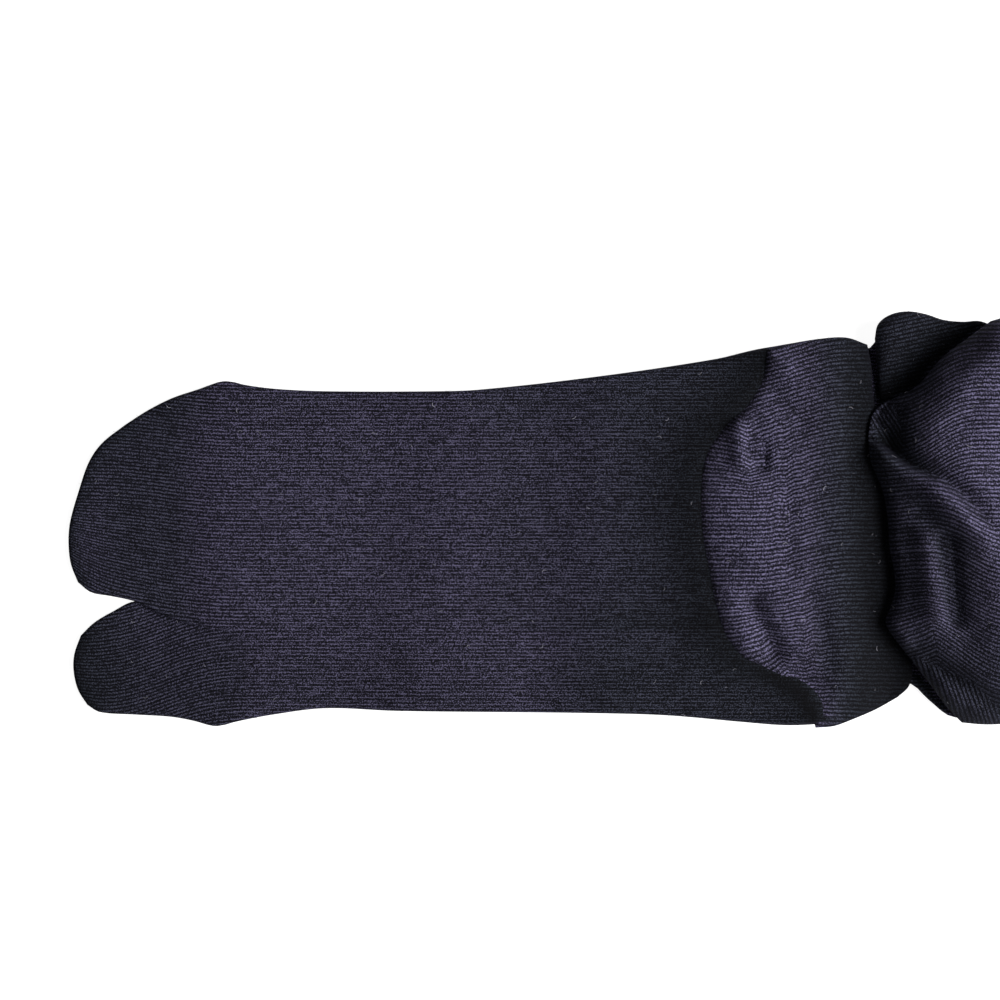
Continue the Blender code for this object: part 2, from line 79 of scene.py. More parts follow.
# How the pair is folded: the same values as the CAD part's
CLOTH = 1.1
TUBE = 2 * CLOTH
GAP = 0.4
PITCH = TUBE + GAP
PAIR_LENGTH = 279.5
ACROSS_MIDDLE = 8.65
SHIFT = 48.1
RIGHT_TOE_WIDTH = 0.88
CUFF_DEPTH = 18.0
CUFF_WAIST = 0.8
LEFT_MOUTH = 106.0
LEFT_MOUTH_SLANT = 0.158
RIGHT_MOUTH = 153.0
LEFT_TUBES_END = 211.5
RIGHT_TUBES_END = 262.0
PAST_LEFT_TUBES = (LEFT_TUBES_END + 3.0, LEFT_TUBES_END + 8.0)
PAST_RIGHT_TUBES = (RIGHT_TUBES_END + 3.0, RIGHT_TUBES_END + 8.0)
# How high the heel pouches stand, and by how much and over what reach they fall to their rims
LEFT_CROWN = 18.0
RIGHT_CROWN = 26.0
RIGHT_ANKLE_DROP = 21.5
LEFT_FALL = (3.8, 20.0)
FLAP_FALL = (11.0, 28.0)
PANEL_FALL = (8.0, 12.0)
# How round each kind of rim is, and how finely the meshes are drawn and joined
TUBE_RIM = TUBE / 2
LIP_RIM = 3.4
UNDER_RIM = 1.2
RIM_STEPS = 8
LINE_POINTS = 12
LEAST_WIDTH = 10.0
WELD = 0.002
# What the node trees share
FLOOR_CORNER = (-1.0, -1.0, 0.0)
NOISE_SHIFT = (3.1, 7.7, 0.43)
NOISE_TURN = (0.5, 0.8, 0.6)
MATHS = "ShaderNodeMath"
NAP_SEED = 11
LINT_SEED = 31


class Point(NamedTuple):
    """A place in the plan."""

    along: float
    across: float


class Fold(NamedTuple):
    """A soft fold: a line, how wide it is, and how much it rises or sinks."""

    start: Point
    end: Point
    width: float
    rise: float


class Step(NamedTuple):
    """Where a tube climbs onto one below it, whose edge may slant as it goes across."""

    start: float
    end: float
    slant: float = 0.0


class Zone(NamedTuple):
    """A stretch of the foot, and how pale it is drawn, painted shade included."""

    name: str
    start: float
    end: float
    tone: float


# What each tube climbs onto: the right toes, the left leg and the right leg
OVER_TOES = Step(SHIFT - 19.0, SHIFT - 1.5)
OVER_LEFT_LEG = Step(LEFT_MOUTH - 17.0, LEFT_MOUTH - 1.0, LEFT_MOUTH_SLANT)
LEFT_FOOT_STEPS = (OVER_TOES, OVER_LEFT_LEG, Step(RIGHT_MOUTH - 26.0, RIGHT_MOUTH - 2.0))
LEFT_LEG_STEPS = (Step(RIGHT_MOUTH - 21.0, RIGHT_MOUTH - 2.0),)
RIGHT_FOOT_STEPS = (Step(RIGHT_MOUTH - 16.0, RIGHT_MOUTH - 2.0),)
SOLE_STEPS = (
    Step(SHIFT - 32.0, SHIFT + 8.0),
    Step(LEFT_MOUTH - 30.0, LEFT_MOUTH + 4.0, LEFT_MOUTH_SLANT),
)


def path(*places: tuple[float, float]) -> list[Point]:
    """A table of plan points, each as along and across."""
    return [Point(*place) for place in places]


def fold_lines(*rows: tuple[float, ...]) -> list[Fold]:
    """A table of folds, each as its line's two ends, its width and its rise."""
    return [Fold(Point(*row[:2]), Point(*row[2:4]), *row[4:]) for row in rows]


FOOT_OUTER = path(
    (43.6, 46.8), (45.2, 46.66), (49.0, 45.7), (58.0, 44.6), (72.0, 44.0), (100.5, 44.0),
    (113.0, 44.4), (146.4, 48.1), (178.1, 52.8), (189.1, 55.4), (198.0, 56.8),
    (LEFT_TUBES_END, 58.2),
)
FOOT_INNER = path(
    (41.1, -48.25), (43.0, -47.95), (46.3, -47.0), (56.2, -45.1), (70.8, -43.3), (89.8, -44.0),
    (146.4, -44.6), (165.4, -45.2), (185.8, -47.0), (198.4, -47.9), (LEFT_TUBES_END, -47.2),
)
TOES_SPLIT = path(
    (2.6, -8.6), (6.2, -11.4), (11.5, -12.4), (18.6, -14.0), (25.0, -17.2), (32.2, -19.9),
    (37.3, -20.9), (42.4, -21.6),
)
TOES_TIP = path(
    (2.6, -8.6), (0.6, -3.4), (0.0, 2.8), (0.5, 8.3), (2.9, 16.8), (5.6, 24.5), (9.2, 29.7),
    (15.5, 34.7),
)
TOES_OUTER = path(
    (15.5, 34.7), (21.9, 38.8), (28.7, 42.2), (35.9, 44.6), (41.6, 46.6), (43.6, 46.8),
)
BIG_TIP = path((3.4, -23.3), (1.6, -28.4), (1.4, -33.0), (2.6, -38.2), (5.2, -42.4))
BIG_OUTER = path(
    (5.2, -42.4), (8.6, -44.4), (18.3, -45.1), (28.2, -45.7), (34.5, -46.8), (39.2, -48.1),
    (41.1, -48.25),
)
BIG_SPLIT = path(
    (3.4, -23.3), (7.0, -19.8), (12.0, -16.8), (18.6, -13.8), (25.0, -15.9), (32.2, -18.8),
    (37.3, -20.3), (42.4, -21.6),
)
LEFT_LIP = path(
    (205.6, -48.5), (204.2, -43.4), (200.8, -38.8), (196.6, -35.4), (191.0, -32.4), (185.6, -29.4),
    (181.6, -25.2), (178.8, -19.0), (176.1, -6.9), (173.9, 5.8), (173.6, 17.6), (174.8, 26.0),
    (178.0, 31.8), (182.2, 36.0), (186.2, 40.2), (189.3, 45.0), (191.6, 50.4), (192.2, 55.9),
)
LEFT_ANKLE = path(
    (228.4, -40.2), (231.6, -36.9), (232.4, -30.0), (231.6, -12.0), (230.6, 12.0), (228.2, 27.0),
    (223.4, 36.4), (221.5, 43.0), (221.2, 50.0), (220.0, 56.8),
)
LEFT_HEEL_OUTER = path((192.2, 55.9), (197.9, 56.9), (206.4, 58.3), (214.0, 58.7), (220.0, 56.8))
LEFT_HEEL_INNER = path(
    (205.6, -48.5), (210.5, -48.1), (215.2, -46.5), (222.1, -43.7), (228.4, -40.2),
)
CREASE = path(
    (220.4, 35.0), (222.8, 32.3), (227.3, 27.5), (231.1, 24.5), (235.5, 22.3), (239.9, 20.1),
    (245.0, 16.5), (251.5, 9.9), (256.4, 3.0), (262.0, -4.0), (270.0, -10.0), (279.3, -13.0),
)
PANEL_LIP = path(
    (220.4, 35.0), (221.4, 37.9), (224.0, 40.4), (228.4, 42.6), (231.8, 44.2), (234.8, 46.6),
    (237.4, 49.8), (240.2, 53.0), (243.6, 55.8), (248.0, 59.0), (253.7, 63.2),
)
PANEL_OUTER = path((253.7, 63.2), (258.5, 64.3), (264.0, 63.0), (269.0, 59.5), (273.6, 53.5))
PANEL_ANKLE = path((279.3, -13.0), (279.4, 4.0), (278.6, 24.0), (276.8, 41.0), (273.6, 53.5))
FLAP_LIP = path(
    (246.0, -47.2), (242.1, -43.2), (237.0, -36.4), (231.2, -29.0), (226.6, -23.0), (224.8, -19.4),
    (226.2, -15.4), (227.5, -10.5), (227.1, -5.0), (225.9, 1.0), (225.4, 9.0), (224.2, 16.0),
    (222.4, 20.5), (220.7, 24.6), (220.0, 30.6), (220.4, 35.0),
)
FLAP_INNER = path((246.0, -47.2), (252.0, -47.7), (258.0, -47.4), (265.0, -45.6), (271.5, -41.5))
FLAP_ANKLE = path((271.5, -41.5), (276.6, -34.0), (278.8, -24.0), (279.3, -13.0))
BULGE_LEFT = path((224.4, 38.6), (223.2, 45.0), (222.6, 52.0), (222.0, 58.4))
BULGE_OUTER = path(
    (222.0, 58.4), (222.9, 62.4), (226.2, 65.0), (231.0, 65.95), (236.0, 65.2), (241.0, 63.6),
    (246.3, 63.1), (251.0, 63.3), (255.5, 61.5),
)
BULGE_HIDDEN = path((224.4, 38.6), (230.0, 38.4), (239.0, 42.0), (251.0, 50.0))
BULGE_RIGHT = path((251.0, 50.0), (254.5, 56.0), (255.5, 61.5))
# Where the wales of the heel pouches turn
UPPER_GORE = path((187.4, 21.2), (187.7, 25.6), (187.4, 30.5), (185.8, 38.2), (184.6, 44.0))
LOWER_GORE = path((203.0, -44.0), (195.1, -27.8), (192.6, -23.1), (190.7, -19.5), (188.8, -15.1))
PANEL_GORE = path((229.0, 30.0), (228.7, 37.4), (226.5, 41.3), (224.0, 45.0))
FLAP_GORE = path((233.0, -29.0), (237.7, -31.4), (249.0, -36.0), (256.4, -44.3), (270.0, -52.0))
FLAP_APEX = path((238.6, -24.5), (235.5, -14.0))
# How pale each stretch of the foot is drawn; toward the heel the sole darkens with painted shade
# of its lip. It changes softly from the end of one zone to the start of the next.
TOES_ZONES = [
    Zone("tip", 0.0, 4.0, 0.42),
    Zone("cap, knitted closer", 14.0, 28.0, 0.32),
    Zone("ball, stretched", 43.0, 47.0, 0.56),
    Zone("sole", 60.0, 106.0, 0.51),
    Zone("arch band", 119.0, 140.0, 0.41),
    Zone("before the heel", 156.0, 212.0, 0.305),
]
BIG_TOE_ZONES = [
    Zone("tip", 0.0, 8.0, 0.25),
    Zone("cap", 24.0, 44.0, 0.43),
    Zone("ball, stretched", 52.0, 60.0, 0.53),
]
RIGHT_FOOT_OUTER = path(
    (105.0, 43.0), (125.0, 43.9), (150.0, 47.2), (180.0, 51.8), (206.0, 55.4), (220.0, 55.6),
    (224.0, 60.0), (229.0, 64.0), (236.0, 64.0), (246.0, 61.8), (RIGHT_TUBES_END, 60.0),
)
RIGHT_FOOT_INNER = path(
    (105.0, -42.0), (125.0, -42.8), (150.0, -43.4), (190.0, -44.6), (212.0, -43.6), (225.0, -38.6),
    (231.5, -36.4), (237.0, -41.0), (244.0, -45.8), (RIGHT_TUBES_END, -44.6),
)
LEFT_LEG_OUTER = path((160.0, 46.0), (190.0, 52.0), (LEFT_TUBES_END, 56.4))
LEFT_LEG_INNER = path((160.0, -43.0), (190.0, -45.4), (LEFT_TUBES_END, -45.4))
RIGHT_LEG_OUTER = path((200.0, 46.0), (230.0, 54.0), (RIGHT_TUBES_END, 58.6))
RIGHT_LEG_INNER = path(
    (200.0, -39.4), (212.0, -40.4), (222.0, -38.0), (231.5, -34.8), (237.0, -38.2), (244.0, -42.8),
    (RIGHT_TUBES_END, -43.2),
)
LEFT_FOLDS = fold_lines(
    (184.0, 34.0, 184.8, 25.0, 2.6, 1.8), (189.6, 29.0, 190.4, 24.0, 2.2, -2.2),
    (181.4, -9.0, 187.4, -27.0, 3.2, 0.5), (188.4, -15.0, 194.4, -27.5, 3.2, -2.3),
    (196.4, 31.0, 199.5, -4.0, 3.4, -0.25), (201.4, 20.0, 203.2, -8.0, 2.6, 0.6),
    (204.0, -10.0, 209.0, -30.0, 3.2, -1.1), (190.4, 53.6, 197.0, 50.0, 3.6, 1.2),
    (195.0, 43.0, 201.0, 36.0, 3.8, -0.8), (201.0, -34.0, 213.0, -42.0, 4.0, -1.0),
    (214.0, 50.0, 216.0, 20.0, 3.0, -0.6),
)
RIGHT_FOLDS = fold_lines(
    (235.8, 3.0, 238.0, -17.0, 3.0, 1.0), (241.4, 2.0, 243.8, -18.0, 3.0, -3.3),
    (234.6, 10.5, 240.0, 4.0, 2.6, -1.3), (244.6, 0.0, 247.4, -22.0, 5.0, -1.5),
    (233.0, -28.0, 258.0, -44.0, 3.0, -2.6), (228.4, 38.6, 228.8, 31.0, 1.8, -1.6),
    (243.0, 50.4, 250.0, 57.0, 2.6, -1.6), (254.0, 30.0, 262.0, 52.0, 7.0, 0.8),
    (230.0, 4.0, 231.0, -14.0, 2.6, -0.6), (226.0, -21.0, 234.0, -29.0, 2.2, 1.2),
    (246.0, 34.0, 256.0, 22.0, 5.0, -0.7), (257.0, -8.0, 262.0, -30.0, 4.5, 1.2),
    (238.5, 17.2, 252.0, 4.0, 2.8, 1.5),
)
CREASE_DEPTH = 3.6
CREASE_FADE = (0.1, 0.4)
CREASE_REACH = {"panel": 8.0, "flap": 1.5}
CLEFT_DEPTHS = [(0.0, 3.0), (0.2, 3.2), (0.36, 2.3), (0.58, 1.9), (0.7, 0.35), (1.0, 0.2)]
CLEFT_REACH = 2.5
RIDGE_FADE = (0.5, 0.8)
FLAP_RIDGE = 2.2

Line = np.ndarray
Heights = Callable[[np.ndarray], tuple[np.ndarray, np.ndarray]]
Wales = Callable[[np.ndarray, np.ndarray], np.ndarray]
Shade = Callable[[np.ndarray], np.ndarray] | float


def ramp(value: np.ndarray, start: float, end: float) -> np.ndarray:
    """A smooth step from 0 at start to 1 at end."""
    share = np.clip((value - start) / (end - start), 0.0, 1.0)
    return share * share * (3.0 - 2.0 * share)


def bell(value: np.ndarray, width: float) -> np.ndarray:
    """A soft bump, 1 in the middle and nearly 0 at twice the width."""
    return np.exp(-((value / width) ** 2))


def zone_tones(along: np.ndarray, zones: Sequence[Zone]) -> np.ndarray:
    """The tone at each place along the foot, even inside a zone and blended between two."""
    places = [place for zone in zones for place in (zone.start, zone.end)]
    return np.interp(along, places, np.repeat([zone.tone for zone in zones], 2))


def climb(value: np.ndarray, start: float, end: float) -> np.ndarray:
    """The area under a slope of 1 that eases in at start and out at end: a line with one bend."""
    share = np.clip((value - start) / (end - start), 0.0, 1.0)
    return (end - start) * (share - np.sin(2 * np.pi * share) / (2 * np.pi))


def across_at(line: Sequence[Point], along: np.ndarray) -> np.ndarray:
    """How far across a line lies at each place along."""
    return np.interp(along, *zip(*line))


def along_at(line: Sequence[Point], across: np.ndarray) -> np.ndarray:
    """How far along a line lies at each place across."""
    alongs, acrosses = zip(*line)
    return np.interp(across, acrosses, alongs)


def curve(points: Sequence[Point], pieces: int = 8) -> Line:
    """A smooth line through points.

    Args:
        points: the places it passes.
        pieces: straight steps between two points.

    Returns:
        The line's (along, across) pairs.
    """
    knots = np.array(points, float)
    knots = np.vstack([2 * knots[0] - knots[1], knots, 2 * knots[-1] - knots[-2]])
    line = []
    for k in range(1, len(knots) - 2):
        before, start, end, after = knots[k - 1 : k + 3]
        span = np.linalg.norm(end - start)
        leave = (end - before) / np.linalg.norm(end - before) * span
        arrive = (after - start) / np.linalg.norm(after - start) * span
        for share in np.arange(pieces) / pieces:
            square = share**2
            cube = share**3
            line.append(
                (2 * cube - 3 * square + 1) * start
                + (cube - 2 * square + share) * leave
                + (3 * square - 2 * cube) * end
                + (cube - square) * arrive
            )
    line.append(knots[-2])
    return np.array(line)


def straight(start: Sequence[float], end: Sequence[float]) -> Line:
    """A straight line."""
    return np.linspace(start, end, LINE_POINTS)


def spaced(line: Line, shares: np.ndarray) -> Line:
    """Points spread along a line.

    Args:
        line: the line.
        shares: the share of its length at which each point lies.

    Returns:
        The points.
    """
    steps = np.linalg.norm(np.diff(line, axis=0), axis=1)
    length = np.concatenate([[0.0], np.cumsum(steps)])
    at = np.asarray(shares) * length[-1]
    return np.stack([np.interp(at, length, line[:, k]) for k in range(2)], axis=1)


def shares_between(
    step: float, length: float, start_rim: float = 0.0, end_rim: float = 0.0
) -> np.ndarray:
    """Shares 0 to 1 of a length, in even steps, with closer ones inside each round rim.

    Args:
        step: the wanted step between the rims.
        length: the length that is shared out.
        start_rim: radius of the rim at the start, or 0.
        end_rim: radius of the rim at the end, or 0.

    Returns:
        The shares.
    """
    rim_steps = 1.0 - np.cos(np.linspace(0.0, np.pi / 2, RIM_STEPS))[:-1]
    start = rim_steps * start_rim if start_rim else np.array([])
    end = rim_steps * end_rim if end_rim else np.array([])
    count = max(2, round((length - start_rim - end_rim) / step))
    middle = np.linspace(start_rim, length - end_rim, count + 1)
    return np.concatenate([start, middle, (length - end)[::-1]]) / length


def patch(
    low: Line, high: Line, start: Line, end: Line, stations: np.ndarray, rows: np.ndarray
) -> np.ndarray:
    """A grid of plan points inside four edge lines.

    Args:
        low: the edge along the first row.
        high: the edge along the last row.
        start: the edge along the first station, from low to high.
        end: the edge along the last station, from low to high.
        stations: shares of low and high.
        rows: shares of start and end.

    Returns:
        An array of (stations, rows, 2).
    """
    low = spaced(low, stations)
    high = spaced(high, stations)
    start = spaced(start, rows)
    end = spaced(end, rows)
    s = np.asarray(stations)[:, None, None]
    c = np.asarray(rows)[None, :, None]
    ruled = (1 - c) * low[:, None] + c * high[:, None]
    bowed = (1 - s) * start[None] + s * end[None]
    first = (1 - c) * low[0] + c * high[0]
    last = (1 - c) * low[-1] + c * high[-1]
    return ruled + bowed - (1 - s) * first - s * last


def distance_to(points: np.ndarray, lines: Sequence[Line]) -> np.ndarray:
    """How far each plan point is from the nearest of several lines.

    Args:
        points: the plan points.
        lines: the lines.

    Returns:
        The distances.
    """
    best = np.full(points.shape[:-1], np.inf)
    for line in lines:
        for start, end in zip(line[:-1], line[1:]):
            run = end - start
            share = ((points - start) @ run) / max(float(run @ run), 1e-12)
            near = start + np.clip(share, 0.0, 1.0)[..., None] * run
            best = np.minimum(best, np.linalg.norm(points - near, axis=-1))
    return best


def rounding(distance: np.ndarray, radius: float) -> np.ndarray:
    """0 at a rim, rising as a quarter circle to 1 at the radius."""
    return np.sqrt(1.0 - (1.0 - np.minimum(distance / radius, 1.0)) ** 2)


def folded(points: np.ndarray, folds: Sequence[Fold]) -> np.ndarray:
    """The summed height of soft folds.

    Args:
        points: the plan points.
        folds: the folds.

    Returns:
        The height at each point.
    """
    height = np.zeros(points.shape[:-1])
    for fold in folds:
        line = np.array([fold.start, fold.end], float)
        height += fold.rise * bell(distance_to(points, [line]), fold.width)
    return height


def fall(points: np.ndarray, lines: Sequence[Line], depth: float, reach: float) -> np.ndarray:
    """How much lower than its crown a pouch lies near its lips, as a rounded shoulder."""
    return depth * (1.0 - np.minimum(distance_to(points, lines) / reach, 1.0)) ** 2


def left_shoulder(along: np.ndarray) -> np.ndarray:
    """The left heel's height along its middle: nearly level, then down to the fold at the ankle."""
    return LEFT_CROWN - 1.8 * ramp(along, 194.0, 214.0) - 7.2 * ramp(along, 210.0, 229.0)


def slack(points: np.ndarray, amount: float) -> np.ndarray:
    """The slight unevenness of cloth that was laid down by hand.

    Args:
        points: the plan points.
        amount: how high its highest waves are.

    Returns:
        The height at each point.
    """
    along, across = points[..., 0], points[..., 1]
    long_waves = np.sin(along / 9.1 + 0.6 * np.sin(across / 13.0)) * np.sin(across / 11.3 + 1.1)
    short_waves = np.sin(along / 4.3 + across / 7.9) * np.sin(across / 5.1 - along / 12.7)
    return amount * (0.65 * long_waves + 0.35 * short_waves)


def climbed(points: np.ndarray, steps: Sequence[Step], layers: float = 0.0) -> np.ndarray:
    """How high a tube lies on those below it.

    Args:
        points: the plan points.
        steps: where it climbs by one more tube.
        layers: how many tubes lie under it before that.

    Returns:
        The height at each point.
    """
    count = np.full(points.shape[:-1], layers)
    for step in steps:
        count += ramp(points[..., 0] - step.slant * points[..., 1], step.start, step.end)
    return PITCH * count


def rimmed(
    under: np.ndarray, upper: np.ndarray, seat: float, distance: np.ndarray, lip: float
) -> tuple[np.ndarray, np.ndarray]:
    """Rounds a form's rims, where its edge lies at a share of its height, called the seat.

    Args:
        under: heights of the under side.
        upper: heights of the upper side.
        seat: the share of the height at which the edge lies.
        distance: how far each point is from the nearest rim.
        lip: radius of the rolled lip.

    Returns:
        The rounded under and upper heights.
    """
    middle = under + seat * (upper - under)
    low = middle - (middle - under) * rounding(distance, UNDER_RIM)
    return low, middle + (upper - middle) * rounding(distance, lip)


def placed(points: np.ndarray, height: np.ndarray) -> np.ndarray:
    """Plan points and heights in millimetres as places in metres, about the pair's middle."""
    plan = points - [PAIR_LENGTH / 2, ACROSS_MIDDLE]
    return np.concatenate([plan, height[..., None]], axis=-1) * MM


def in_plan(places: np.ndarray) -> np.ndarray:
    """Places in metres as plan points in millimetres."""
    return places[..., :2] / MM + [PAIR_LENGTH / 2, ACROSS_MIDDLE]


def turned_over(points: Sequence[Point]) -> list[Point]:
    """The right toes under the left sole: the left ones mirrored, moved along and tucked in."""
    return [Point(p.along + SHIFT, 0.6 - RIGHT_TOE_WIDTH * p.across) for p in points]


def linear(colour: str) -> tuple[float, float, float, float]:
    """An sRGB hex colour as linear red, green, blue and 1."""
    parts = [int(colour[k : k + 2], 16) / 255 for k in (1, 3, 5)]
    return (*(p / 12.92 if p <= 0.04045 else ((p + 0.055) / 1.055) ** 2.4 for p in parts), 1.0)


def add_node(
    tree: bpy.types.NodeTree,
    kind: str,
    *values: object,
    named: dict[str | int, object] | None = None,
    **settings: object,
) -> bpy.types.Node:
    """Adds a node with its settings and links.

    An input is given a number, a colour, a socket, a node whose first output it takes, or a
    formula: the operation of a maths node followed by that node's own inputs.

    Args:
        tree: the node tree it goes in.
        kind: the node's type name.
        values: its first inputs, in order.
        named: its other inputs, by name or index.
        settings: the node's own properties.

    Returns:
        The new node.
    """
    node = tree.nodes.new(kind)
    for name, value in settings.items():
        setattr(node, name, value)
    for key, value in (dict(enumerate(values)) | (named or {})).items():
        if isinstance(value, tuple) and isinstance(value[0], str):
            value = add_node(tree, MATHS, *value[1:], operation=value[0])
        if isinstance(value, bpy.types.Node):
            value = value.outputs[0]
        if isinstance(value, bpy.types.NodeSocket):
            tree.links.new(value, node.inputs[key])
        else:
            node.inputs[key].default_value = value
    return node


# The materials made so far, by their finish's name
MADE: dict[str, bpy.types.Material] = {}


@dataclass(frozen=True)
class Finish:
    """What a surface is made of."""

    name: str

    def shader(self, tree: bpy.types.NodeTree) -> bpy.types.Node:
        """Adds the finish's nodes and returns its shader."""
        raise NotImplementedError

    def material(self) -> bpy.types.Material:
        """The finish's material, made once.

        Returns:
            The material.
        """
        if self.name not in MADE:
            material = MADE[self.name] = bpy.data.materials.new(self.name)
            material.use_nodes = True
            material.node_tree.nodes.clear()
            shader = self.shader(material.node_tree)
            add_node(material.node_tree, "ShaderNodeOutputMaterial", shader)
        return MADE[self.name]


@dataclass(frozen=True)
class KnitFinish(Finish):
    """Fine-gauge cotton jersey, piece-dyed ink navy: pale wales, near black between them, and matt.

    Reliefs, the course pitch and the yarn's and clouds' grain are millimetres. Each pair is a value
    where the wales run into one another and one where they stand clear. A spun yarn's unevenness is
    finer than this grain, which is drawn as coarse as it needs to show.
    """

    name: str = "ink_navy_cotton_jersey"
    ridge: str = "#8781a6"
    # The ridges' tint where the tone is low: a painted-shade tint, bluer and greener than the lit
    # ridge
    painted_shade_tint: str = "#7b869c"
    valley: str = "#07080d"
    sheen: str = "#8f88b8"
    course_pitch: float = 0.74
    yarn_grain: float = 1 / 2.9
    cloud_grain: float = 50 / 3
    wale_relief: float = 0.16
    least_wale_relief: float = 0.06
    stitch_relief: float = 0.03
    yarn_relief: float = 0.14
    streak_relief: float = 0.04

    wale_contrast: tuple[float, float] = (5.9, 3.7)
    stitch_contrast: tuple[float, float] = (0.2, 0.8)
    yarn_contrast: tuple[float, float] = (15.0, 11.0)
    streak_contrast: tuple[float, float] = (6.0, 4.0)
    cloud_contrast: tuple[float, float] = (0.5, 0.5)
    darkness: tuple[float, float] = (5.65, 4.95)

    def shader(self, tree: bpy.types.NodeTree) -> bpy.types.Node:
        """Adds the nodes: rounded wales with faint V stitches, uneven yarn and a dull fuzzy nap.

        Args:
            tree: the material's node tree.

        Returns:
            The shader.
        """
        node = partial(add_node, tree)
        place = node("ShaderNodeUVMap", uv_map="knit")
        spot = node("ShaderNodeTexCoord").outputs["Object"]
        clear = node("ShaderNodeAttribute", attribute_name="clear").outputs["Fac"]
        # The noises are stretched along the knit, and turned so that no cell lines up with it.
        noises = []
        for at, stretch, detail in (
            (place, (0.15, 0.4, 1.0), 2.0),
            (spot, (1 / (self.yarn_grain * MM),) * 3, 0.0),
            (place, (0.23, 1.9, 1.0), 1.0),
            (spot, (1 / (self.cloud_grain * MM),) * 3, 1.0),
        ):
            turned = node("ShaderNodeMapping", at, NOISE_SHIFT, NOISE_TURN, stretch)
            fineness = {"Scale": 1.0, "Detail": detail}
            noises.append(node("ShaderNodeTexNoise", turned, named=fineness))
        wander, yarn, streak, cloud = noises
        along, wale = node("ShaderNodeSeparateXYZ", place).outputs[:2]
        # Yarn is spun unevenly, so the wales wander a little and each differs from the next.
        wale = node(MATHS, wale, ("MULTIPLY", ("SUBTRACT", wander, 0.5), 0.4), operation="ADD")
        swing = node(MATHS, ("SINE", ("MULTIPLY", wale, math.pi)), operation="ABSOLUTE")
        ridge = node(MATHS, swing, 0.8, operation="POWER")
        between = ("POWER", ("SUBTRACT", 1.0, ("MULTIPLY", swing, swing)), 4.0)
        legs = ("MULTIPLY_ADD", between, 0.55, ("POWER", swing, 6.0))
        lean = ("MULTIPLY", ("PINGPONG", wale, 0.5), 0.9)
        beat = ("MULTIPLY", ("ADD", ("DIVIDE", along, self.course_pitch), lean), 2 * math.pi)
        stitch = node(MATHS, ("SINE", beat), 0.5, 0.5, operation="MULTIPLY_ADD")
        raised = node("ShaderNodeMapRange", ridge, 0.4, 0.9)
        raised = node("ShaderNodeMix", clear, named={2: legs, 3: raised})
        # Each of these halves or doubles the light that the nap returns, so they add as exponents.
        level = ("MULTIPLY", raised, self._where(clear, self.wale_contrast))
        height = ("MULTIPLY_ADD", clear, self.wale_relief, self.least_wale_relief)
        relief = ("MULTIPLY", ridge, height)
        for part, contrast, depth in (
            (stitch, self.stitch_contrast, self.stitch_relief),
            (yarn, self.yarn_contrast, self.yarn_relief),
            (streak, self.streak_contrast, self.streak_relief),
            (cloud, self.cloud_contrast, 0.0),
        ):
            level = ("MULTIPLY_ADD", ("SUBTRACT", part, 0.5), self._where(clear, contrast), level)
            relief = ("MULTIPLY_ADD", part, depth, relief) if depth else relief
        level = ("SUBTRACT", level, self._where(clear, self.darkness))
        bump = node("ShaderNodeBump", named={"Height": relief, "Strength": 1.0, "Distance": MM})
        surface = {"Normal": bump, "Roughness": 0.92, "Specular IOR Level": 0.15}
        surface |= {"Sheen Weight": 0.05, "Sheen Roughness": 0.6, "Sheen Tint": linear(self.sheen)}
        return node("ShaderNodeBsdfPrincipled", self._dyed_and_painted_shade(tree, level), named=surface)

    def _where(self, clear: bpy.types.NodeSocket, pair: tuple[float, float]) -> tuple:
        """A formula that goes from one value of the pair to the other as the wales get clear."""
        return ("MULTIPLY_ADD", clear, pair[1] - pair[0], pair[0])

    def _dyed_and_painted_shade(self, tree: bpy.types.NodeTree, level: tuple) -> bpy.types.Node:
        """Adds the dye's nodes: pale where the nap catches light, near black where it doesn't.

        Args:
            tree: the material's node tree.
            level: a formula for the light that the nap returns, as a power of two.

        Returns:
            The node that gives the colour.
        """
        node = partial(add_node, tree, data_type="RGBA")
        # Painted shade: the tone darkens the colour and, where it is low, tints the ridges toward
        # the shade tint.
        tone = add_node(tree, "ShaderNodeAttribute", attribute_name="tone").outputs["Fac"]
        painted_light_share = add_node(tree, "ShaderNodeMapRange", tone, 0.08, 0.42)
        ends = {6: linear(self.painted_shade_tint), 7: linear(self.ridge)}
        nap = node("ShaderNodeMix", painted_light_share, named=ends)
        lit = ("MINIMUM", ("POWER", 2.0, level), 1.0)
        dyed = node("ShaderNodeMix", lit, named={6: linear(self.valley), 7: nap.outputs[2]})
        return add_node(
            tree, "ShaderNodeVectorMath", dyed.outputs[2], named={3: tone}, operation="SCALE"
        )


@dataclass(frozen=True)
class MottledFinish(Finish):
    """A matt finish whose shade changes softly, in patches of the mottle's size in millimetres."""

    light: str = "#ffffff"
    dark_share: float = 0.5
    mottle: float = 1.0
    detail: float = 2.0
    span: tuple[float, float] = (0.0, 1.0)
    roughness: float = 0.95

    def shader(self, tree: bpy.types.NodeTree) -> bpy.types.Node:
        """Adds the nodes: noise that runs from the darker shade to the light one.

        Args:
            tree: the material's node tree.

        Returns:
            The shader.
        """
        spot = add_node(tree, "ShaderNodeTexCoord").outputs["Object"]
        settings = {"Scale": 1 / (self.mottle * MM), "Detail": self.detail}
        noise = add_node(tree, "ShaderNodeTexNoise", spot, named=settings)
        share = add_node(tree, "ShaderNodeMapRange", noise, *self.span)
        light = linear(self.light)
        dark = (*(part * self.dark_share for part in light[:3]), 1.0)
        colour = add_node(tree, "ShaderNodeMix", share, named={6: dark, 7: light}, data_type="RGBA")
        roughness = {"Roughness": self.roughness}
        return add_node(tree, "ShaderNodeBsdfPrincipled", colour.outputs[2], named=roughness)


